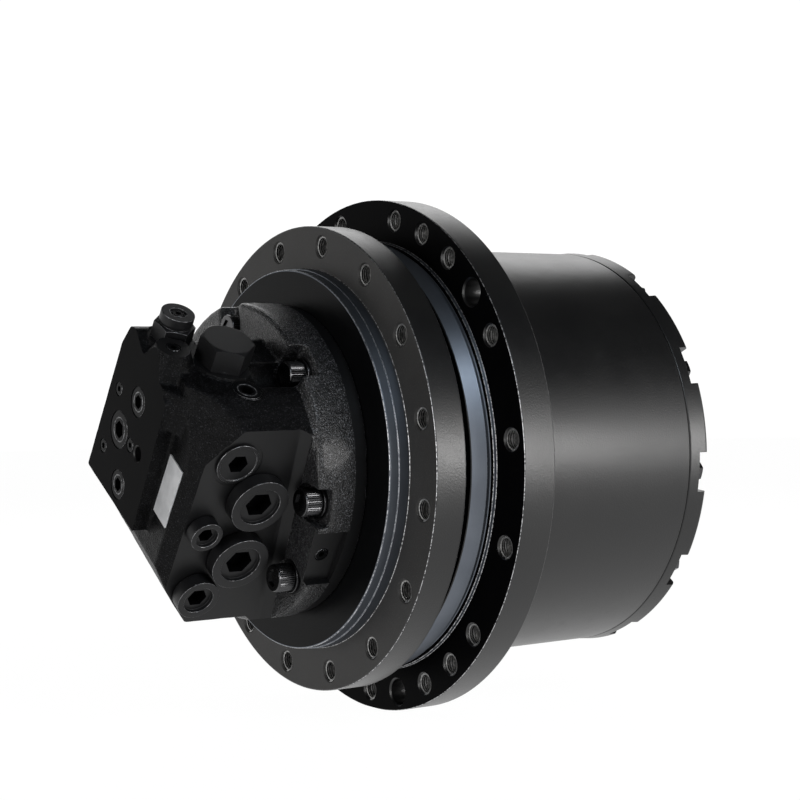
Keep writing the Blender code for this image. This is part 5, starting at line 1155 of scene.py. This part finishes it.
def socket_plug_places():
    """Into the surface at each flush socket plug, and the plug's radius."""
    found = [(end_place(at), radius) for at, radius in END_PLUGS]
    found.append((facing((UPPER_PLUG[0], -UPPER_PLUG[1], UPPER_SIDE), -UP_WAY), PLUG_MEDIUM_R))
    found.append((facing((BOSS_PLUG[0], -BOSS_PLUG[1], BOSS_PLUG_TOP), -UP_WAY), PLUG_SMALL_R))
    found.append((facing((FLAT_PLUG_X, -SIDE_FLAT, 0), -PORT_WAY), PLUG_SMALL_R))
    return found


def make_socket_plugs():
    """Flush plugs with a hexagon socket and a rounded rim, in their own bores."""
    bodies, rims, sockets = bmesh.new(), bmesh.new(), bmesh.new()
    for place, radius in socket_plug_places():
        outline = [(0.1 * MM, 0), (0.1 * MM, radius), (0.007, radius), (0.007, 0)]
        if radius > PLUG_SMALL_R:
            low, inner = 0.3 * MM, radius * 0.62
            outline = [(low, 0), (low, inner), (low + 0.35 * MM, inner + 0.5 * MM), (low, inner + 1.0 * MM),
                       (low, radius), (0.007, radius), (0.007, 0)]
        lathe(bodies, rounded(outline, 0.35 * MM), STEPS_SMALL, place)
        inner, outer = radius - 0.5 * MM, radius + 1.1 * MM
        rim = [(0.006, inner), (0.7 * MM, inner), (0.7 * MM, outer), (0.006, outer)]
        lathe(rims, rounded(rim, 0.2 * MM), STEPS_SMALL, place)
        # The socket walls get the deep black: painted shade in the recess.
        hexagon(sockets, radius * 0.86, -0.004, min(0.0062, radius), place, 1)
    looks = (TURNED_BLACK, BLACK_FACE_AND_SOCKET_SHADE, PLUG_EDGE_AND_PAINTED_HIGHLIGHT)
    plugs = solid(bodies, "socket_plugs", *looks)
    combine(plugs, "DIFFERENCE", solid(sockets, "sockets", *looks), solver="MANIFOLD")
    rims.from_mesh(plugs.data)
    rims.to_mesh(plugs.data)
    rims.free()
    # The rounded rims of the plugs get a brighter edge colour: rubbed coat and painted highlight.
    for place, radius in socket_plug_places():
        back = place.inverted()
        paint_where(plugs, 2, lambda c, n, b=back, r=radius: (b @ c).yz.length < r + 2 * MM
                    and abs((b @ c).x) < 3 * MM and 0.3 < -(b.to_3x3() @ n).x < 0.93)
    show(plugs, "frame_side", "plug")


def make_port_plugs():
    looks = (PLUG_COAT, BLACK_FACE_AND_SOCKET_SHADE)
    for name, (at, radius, proud) in PORT_PLUGS.items():
        place = port_place(at, PORT_WAY)
        shank = radius * SHANK_SHARE
        flush = proud < 5 * MM
        recess = radius - 2.2 * MM if flush else radius * 0.69
        low = proud - (0.7 * MM if flush else 3.2 * MM)
        neck = [(0.3 * MM, radius)]
        if not flush:
            neck = [(0.3 * MM, radius - 0.6 * MM), (1.4 * MM, radius - 0.6 * MM), (1.4 * MM, radius)]
        outline = [(-0.012, 0), (-0.012, shank), (0.3 * MM, shank), *neck, (proud, radius), (proud, recess),
                   (low, recess), (low, 0)]
        plug = turned(name + "_turned", rounded(outline, 0.55 * MM), STEPS_MEDIUM, *looks, place=place)
        bm = bmesh.new()
        # The socket walls get the deep black: painted shade in the recess.
        hexagon(bm, radius * 0.82, low - 0.009, proud + 0.01, place, 1)
        mouth = radius * 0.41 * 1.155 + 1.6 * MM
        lathe(bm, [(low - 0.9 * MM, 0), (low + 1 * MM, mouth), (low + 1 * MM, 0)], 36, place)
        combine(plug, "DIFFERENCE", solid(bm, "socket", *looks))
        # The rounded rim gets a brighter edge colour: rubbed coat and painted highlight.
        plug.data.materials.append(PLUG_EDGE_AND_PAINTED_HIGHLIGHT)
        back = place.inverted()
        paint_where(plug, 2, lambda c, n: (back @ c).x > proud - 0.8 * MM
                    and (back @ c).yz.length > recess - 0.1 * MM and 0.2 < (back.to_3x3() @ n).x < 0.95)
        show(plug, "frame_side", "plug", name)


def make_screws():
    """Socket cap screws with a knurled band, each on a thick washer."""
    top = -SCREW_HEAD_TOP
    bm = bmesh.new()
    head = [(top, 0), (top, 10.2 * MM), (-2.5 * MM, 10.2 * MM), (-2.5 * MM, 6.9 * MM), (0.052, 6.9 * MM),
            (0.052, 0)]
    lathe(bm, rounded(head, 0.9 * MM), STEPS_SMALL)
    washer = [(-2.4 * MM, 7.3 * MM), (-2.4 * MM, 12.2 * MM), (-0.2 * MM, 12.2 * MM), (-0.2 * MM, 7.3 * MM)]
    lathe(bm, rounded(washer, 0.4 * MM), STEPS_SMALL)
    screw = solid(bm, "screw", DARK_OXIDE)
    bm = bmesh.new()
    hexagon(bm, 12 * MM, top - 0.01, top + 0.0075, Matrix())
    lathe(bm, [(top + 0.8 * MM, 0), (top - 1.2 * MM, 9.3 * MM), (top - 0.01, 9.3 * MM), (top - 0.01, 0)], 36)
    combine(screw, "DIFFERENCE", solid(bm, "screw_socket", DARK_OXIDE))
    points = [(SCREW_SEAT_X, *at, 0.6 * k) for k, at in enumerate(screw_places())]
    screws = COPIES.grow("cap_screws", points, piece=screw, finish=DARK_OXIDE)
    bpy.data.objects.remove(screw)
    nodes = ["port_block_screw_%d" % (k + 1) for k in range(len(SCREW_ANGLES))]
    show(screws, "frame_side", "fastener", *nodes)
    points = [(SCREW_SEAT_X - 9.2 * MM, *at, 0) for at in screw_places()]
    knurls = KNURLS.grow("screw_knurls", points, radius=10.5 * MM, length=11.6 * MM, depth=0.42 * MM,
                         flutes=44, finish=DARK_OXIDE)
    show(knurls, "frame_side", "fastener", crease=20)


def hex_body(name, across_flats, low, high, place, chamfer):
    """A hexagon head with its corners turned off."""
    corner = across_flats / 2 / math.cos(math.pi / 6)
    bm = bmesh.new()
    hexagon(bm, across_flats, low, high, place, turn=CAP_TURN)
    head = solid(bm, name, PLUG_COAT)
    crown = [(low - 0.01, 0), (low - 0.01, corner + 0.002), (high - chamfer, corner + 0.2 * MM),
             (high + 0.3 * MM, across_flats / 2 - 1.0 * MM), (high + 0.3 * MM, 0)]
    return combine(head, "INTERSECT", turned("crown", crown, STEPS_MEDIUM, PLUG_COAT, place=place))


def make_valves():
    """The hexagon cap over the spool, and the relief valve with its adjusting screw."""
    seat = SEAT_HEIGHT + 0.3 * MM
    place = top_place(SPOOL_AT)
    cap = hex_body("spool_cap_head", CAP_ACROSS_FLATS, seat, seat + CAP_T, place, 1.6 * MM)
    shank = rounded([
        (0.0833, 0), (0.0833, CAP_SHANK_R), (seat - 0.2 * MM, CAP_SHANK_R), (seat - 0.2 * MM, CAP_COLLAR_R),
        (seat + 1.2 * MM, CAP_COLLAR_R), (seat + 1.2 * MM, 0),
    ], 0.3 * MM)
    combine(cap, "UNION", turned("cap_shank", shank, STEPS_MEDIUM, PLUG_COAT, place=place))
    # The bevelled edges get the brighter edge colour: rubbed coat and painted highlight.
    soften(cap, 0.4 * MM, PLUG_EDGE_AND_PAINTED_HIGHLIGHT)
    show(cap, "frame_side", "fastener", "spool_cap")

    place = top_place(RELIEF_AT)
    valve = hex_body("relief_valve_hex", RELIEF_ACROSS_FLATS, seat, seat + 0.013, place, 1.2 * MM)
    top = seat + RELIEF_HEIGHT
    barrel = rounded([
        (0.063, 0), (0.063, 0.011), (seat + 0.004, 0.011), (seat + 0.0132, 0.0118), (seat + 0.0142, 0.0118),
        (seat + 0.0150, 0.0125), (top, 0.0125), (top, 0.0062), (top - 2.6 * MM, 0.0058), (top - 2.6 * MM, 0),
    ], 0.5 * MM)
    combine(valve, "UNION", turned("valve_round", barrel, STEPS_MEDIUM, PLUG_COAT, place=place))
    # The bevelled edges get the brighter edge colour: rubbed coat and painted highlight.
    soften(valve, 0.35 * MM, PLUG_EDGE_AND_PAINTED_HIGHLIGHT)
    show(valve, "frame_side", "fastener", "relief_valve")
    outline = [(top - 8 * MM, 0), (top - 8 * MM, 4.6 * MM), (top - 0.7 * MM, 4.6 * MM), (top - 0.7 * MM, 0)]
    screw = turned("relief_adjuster", rounded(outline, 0.5 * MM), STEPS_SMALL, DARK_OXIDE, place=place)
    bm = bmesh.new()
    hexagon(bm, 4.0 * MM, top - 5 * MM, top + 4 * MM, place)
    combine(screw, "DIFFERENCE", solid(bm, "adjuster_socket", DARK_OXIDE))
    show(screw, "frame_side", "fastener")


def soften(piece, width, look=None, angle=28):
    """Break a piece's edges that are sharper than an angle, and give the breaks a finish."""
    bevel = piece.modifiers.new("broken edges", "BEVEL")
    bevel.width = width
    bevel.segments = 2
    bevel.limit_method = "ANGLE"
    bevel.angle_limit = math.radians(angle)
    if look:
        piece.data.materials.append(look)
        bevel.material = len(piece.data.materials) - 1
    return settle(piece)


def make_label():
    """A plain foil plate on the bevel side of the block."""
    x = LABEL_X - 0.3 * MM
    label = pushed("blank_label", LABEL_CORNERS, x - 0.7 * MM, x + 0.9 * MM, from_end, BARE_FOIL)
    show(soften(label, 0.25 * MM), "frame_side", "label", "label_plate")


def dress_inside():
    """Finishes of the solids that keep their own shape."""
    for name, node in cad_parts.items():
        look = GROUND_STEEL
        if "planet" in name or "sun" in name:
            look = GEAR_STEEL
        elif name in ("valve_plate", "thrust_button", "piston_set"):
            look = BRONZE
        elif name.startswith("friction_plate"):
            look = LINING
        elif "rubber" in name or name in ("shaft_seal", "port_block_seal"):
            look = RUBBER
        node.data.materials.clear()
        node.data.materials.append(look)


def white_to_the_eye(name, share):
    """A stage finish that the camera and reflections see white, and that still takes a faint shadow."""
    material = bpy.data.materials.new(name)
    material.use_nodes = True
    tree = material.node_tree
    tree.nodes.clear()
    path = add_node(tree, "ShaderNodeLightPath").outputs
    seen = Wire(tree, path["Is Camera Ray"]) + Wire(tree, path["Is Glossy Ray"])
    seen = (seen + Wire(tree, path["Is Transmission Ray"])) * share
    plain = add_node(tree, "ShaderNodeBsdfDiffuse", {"Color": PALE}).outputs[0]
    white = add_node(tree, "ShaderNodeEmission", {"Color": (1, 1, 1, 1), "Strength": WHITE_LEVEL}).outputs[0]
    both = add_node(tree, "ShaderNodeMixShader", {0: seen, 1: plain, 2: white}).outputs[0]
    add_node(tree, "ShaderNodeOutputMaterial", {"Surface": both})
    return material


def make_stage():
    """White floor, a low white backdrop all round, a dim room above it and soft lamps."""
    world = bpy.data.worlds.new("studio")
    bpy.context.scene.world = world
    world.use_nodes = True
    world.node_tree.nodes["Background"].inputs["Color"].default_value = (1, 1, 1, 1)
    world.node_tree.nodes["Background"].inputs["Strength"].default_value = ROOM_LEVEL

    low = cad_box[0][2] - 0.5 * MM
    bm = bmesh.new()
    bmesh.ops.create_circle(bm, cap_ends=True, segments=BACKDROP_SIDES, radius=BACKDROP_R)
    bmesh.ops.translate(bm, verts=bm.verts, vec=(0, 0, low))
    solid(bm, "floor", white_to_the_eye("pale_floor", FLOOR_WHITE_SHARE))
    bm = bmesh.new()
    rows = [[bm.verts.new((*polar(BACKDROP_R, a), z)) for a in around(BACKDROP_SIDES)]
            for z in (low - 0.01, BACKDROP_TOP)]
    for k in range(BACKDROP_SIDES):
        bm.faces.new((rows[0][k], rows[0][k - 1], rows[1][k - 1], rows[1][k]))
    solid(bm, "backdrop", white_to_the_eye("pale_wall", 1.0))

    for name, at, size, power, colour in (
        ("front", (1.25, -2.05, 0.02), (0.8, 0.7), 27, (1.0, 0.99, 0.98)),
        ("cool", (0.03, -1.8, 1.3), (0.7, 0.5), 12, (0.82, 0.91, 1.0)),
        ("left", (-2.2, -0.95, -0.05), (0.9, 0.9), 28, (1.0, 0.99, 0.98)),
        ("back", (1.0, 1.5, 1.35), (1.8, 0.9), 12, (1.0, 1.0, 1.0)),
    ):
        light = bpy.data.lights.new(name, "AREA")
        light.shape = "RECTANGLE"
        light.size, light.size_y = size
        light.energy = power
        light.color = colour
        lamp = bpy.data.objects.new(name, light)
        lamp.location = at
        lamp.rotation_euler = (Vector(at) - Vector(LAMP_AIM)).to_track_quat("Z", "Y").to_euler()
        bpy.context.scene.collection.objects.link(lamp)


def make_camera():
    lens = bpy.data.cameras.new("camera")
    lens.sensor_width = 36
    lens.lens = 80.375
    camera = bpy.data.objects.new("camera", lens)
    across, up, back = (0.8286, -0.5595, -0.0185), (0.0224, 0.0, 0.99975), (-0.5594, -0.8288, 0.0125)
    camera.matrix_world = (Matrix.Translation((-0.7246, -1.2111, 0.0621))
                           @ Matrix((across, up, back)).transposed().to_4x4())
    bpy.context.scene.collection.objects.link(camera)
    bpy.context.scene.camera = camera


BARREL_PAINT = barrel_paint()
BLACK_FACE_AND_SOCKET_SHADE = face_black()
TURNED_BLACK = turned_black()
FLANGE_PAINT = flange_paint()
MACHINED_PAINT = machined_paint()
WORN_EDGE_AND_PAINTED_HIGHLIGHT = worn_edge()
CAST_PAINT = cast_paint()
CAST_PAINT_PAINTED_SHADE = dull_cast_paint()
MILLED_PAINT = milled_paint()
PLUG_COAT = plug_coat()
PLUG_EDGE_AND_PAINTED_HIGHLIGHT = plug_edge()
DARK_OXIDE = dark_oxide()
CUT_THREAD = cut_thread()
BARE_FOIL = bare_foil()
GROUND_STEEL = ground_steel()
GEAR_STEEL = gear_steel()
BRONZE = bearing_bronze()
LINING = friction_lining()
RUBBER = seal_rubber()
THREADS = thread_recipe()
COPIES = copies_recipe()
KNURLS = knurl_recipe()

make_camera()
dress_inside()
make_spindle()
make_hub()
make_ring_gear()
make_cover()
make_seal_rings()
make_port_block()
make_socket_plugs()
make_port_plugs()
make_screws()
make_valves()
make_label()
make_stage()
bpy.context.scene.view_settings.view_transform = "Standard"
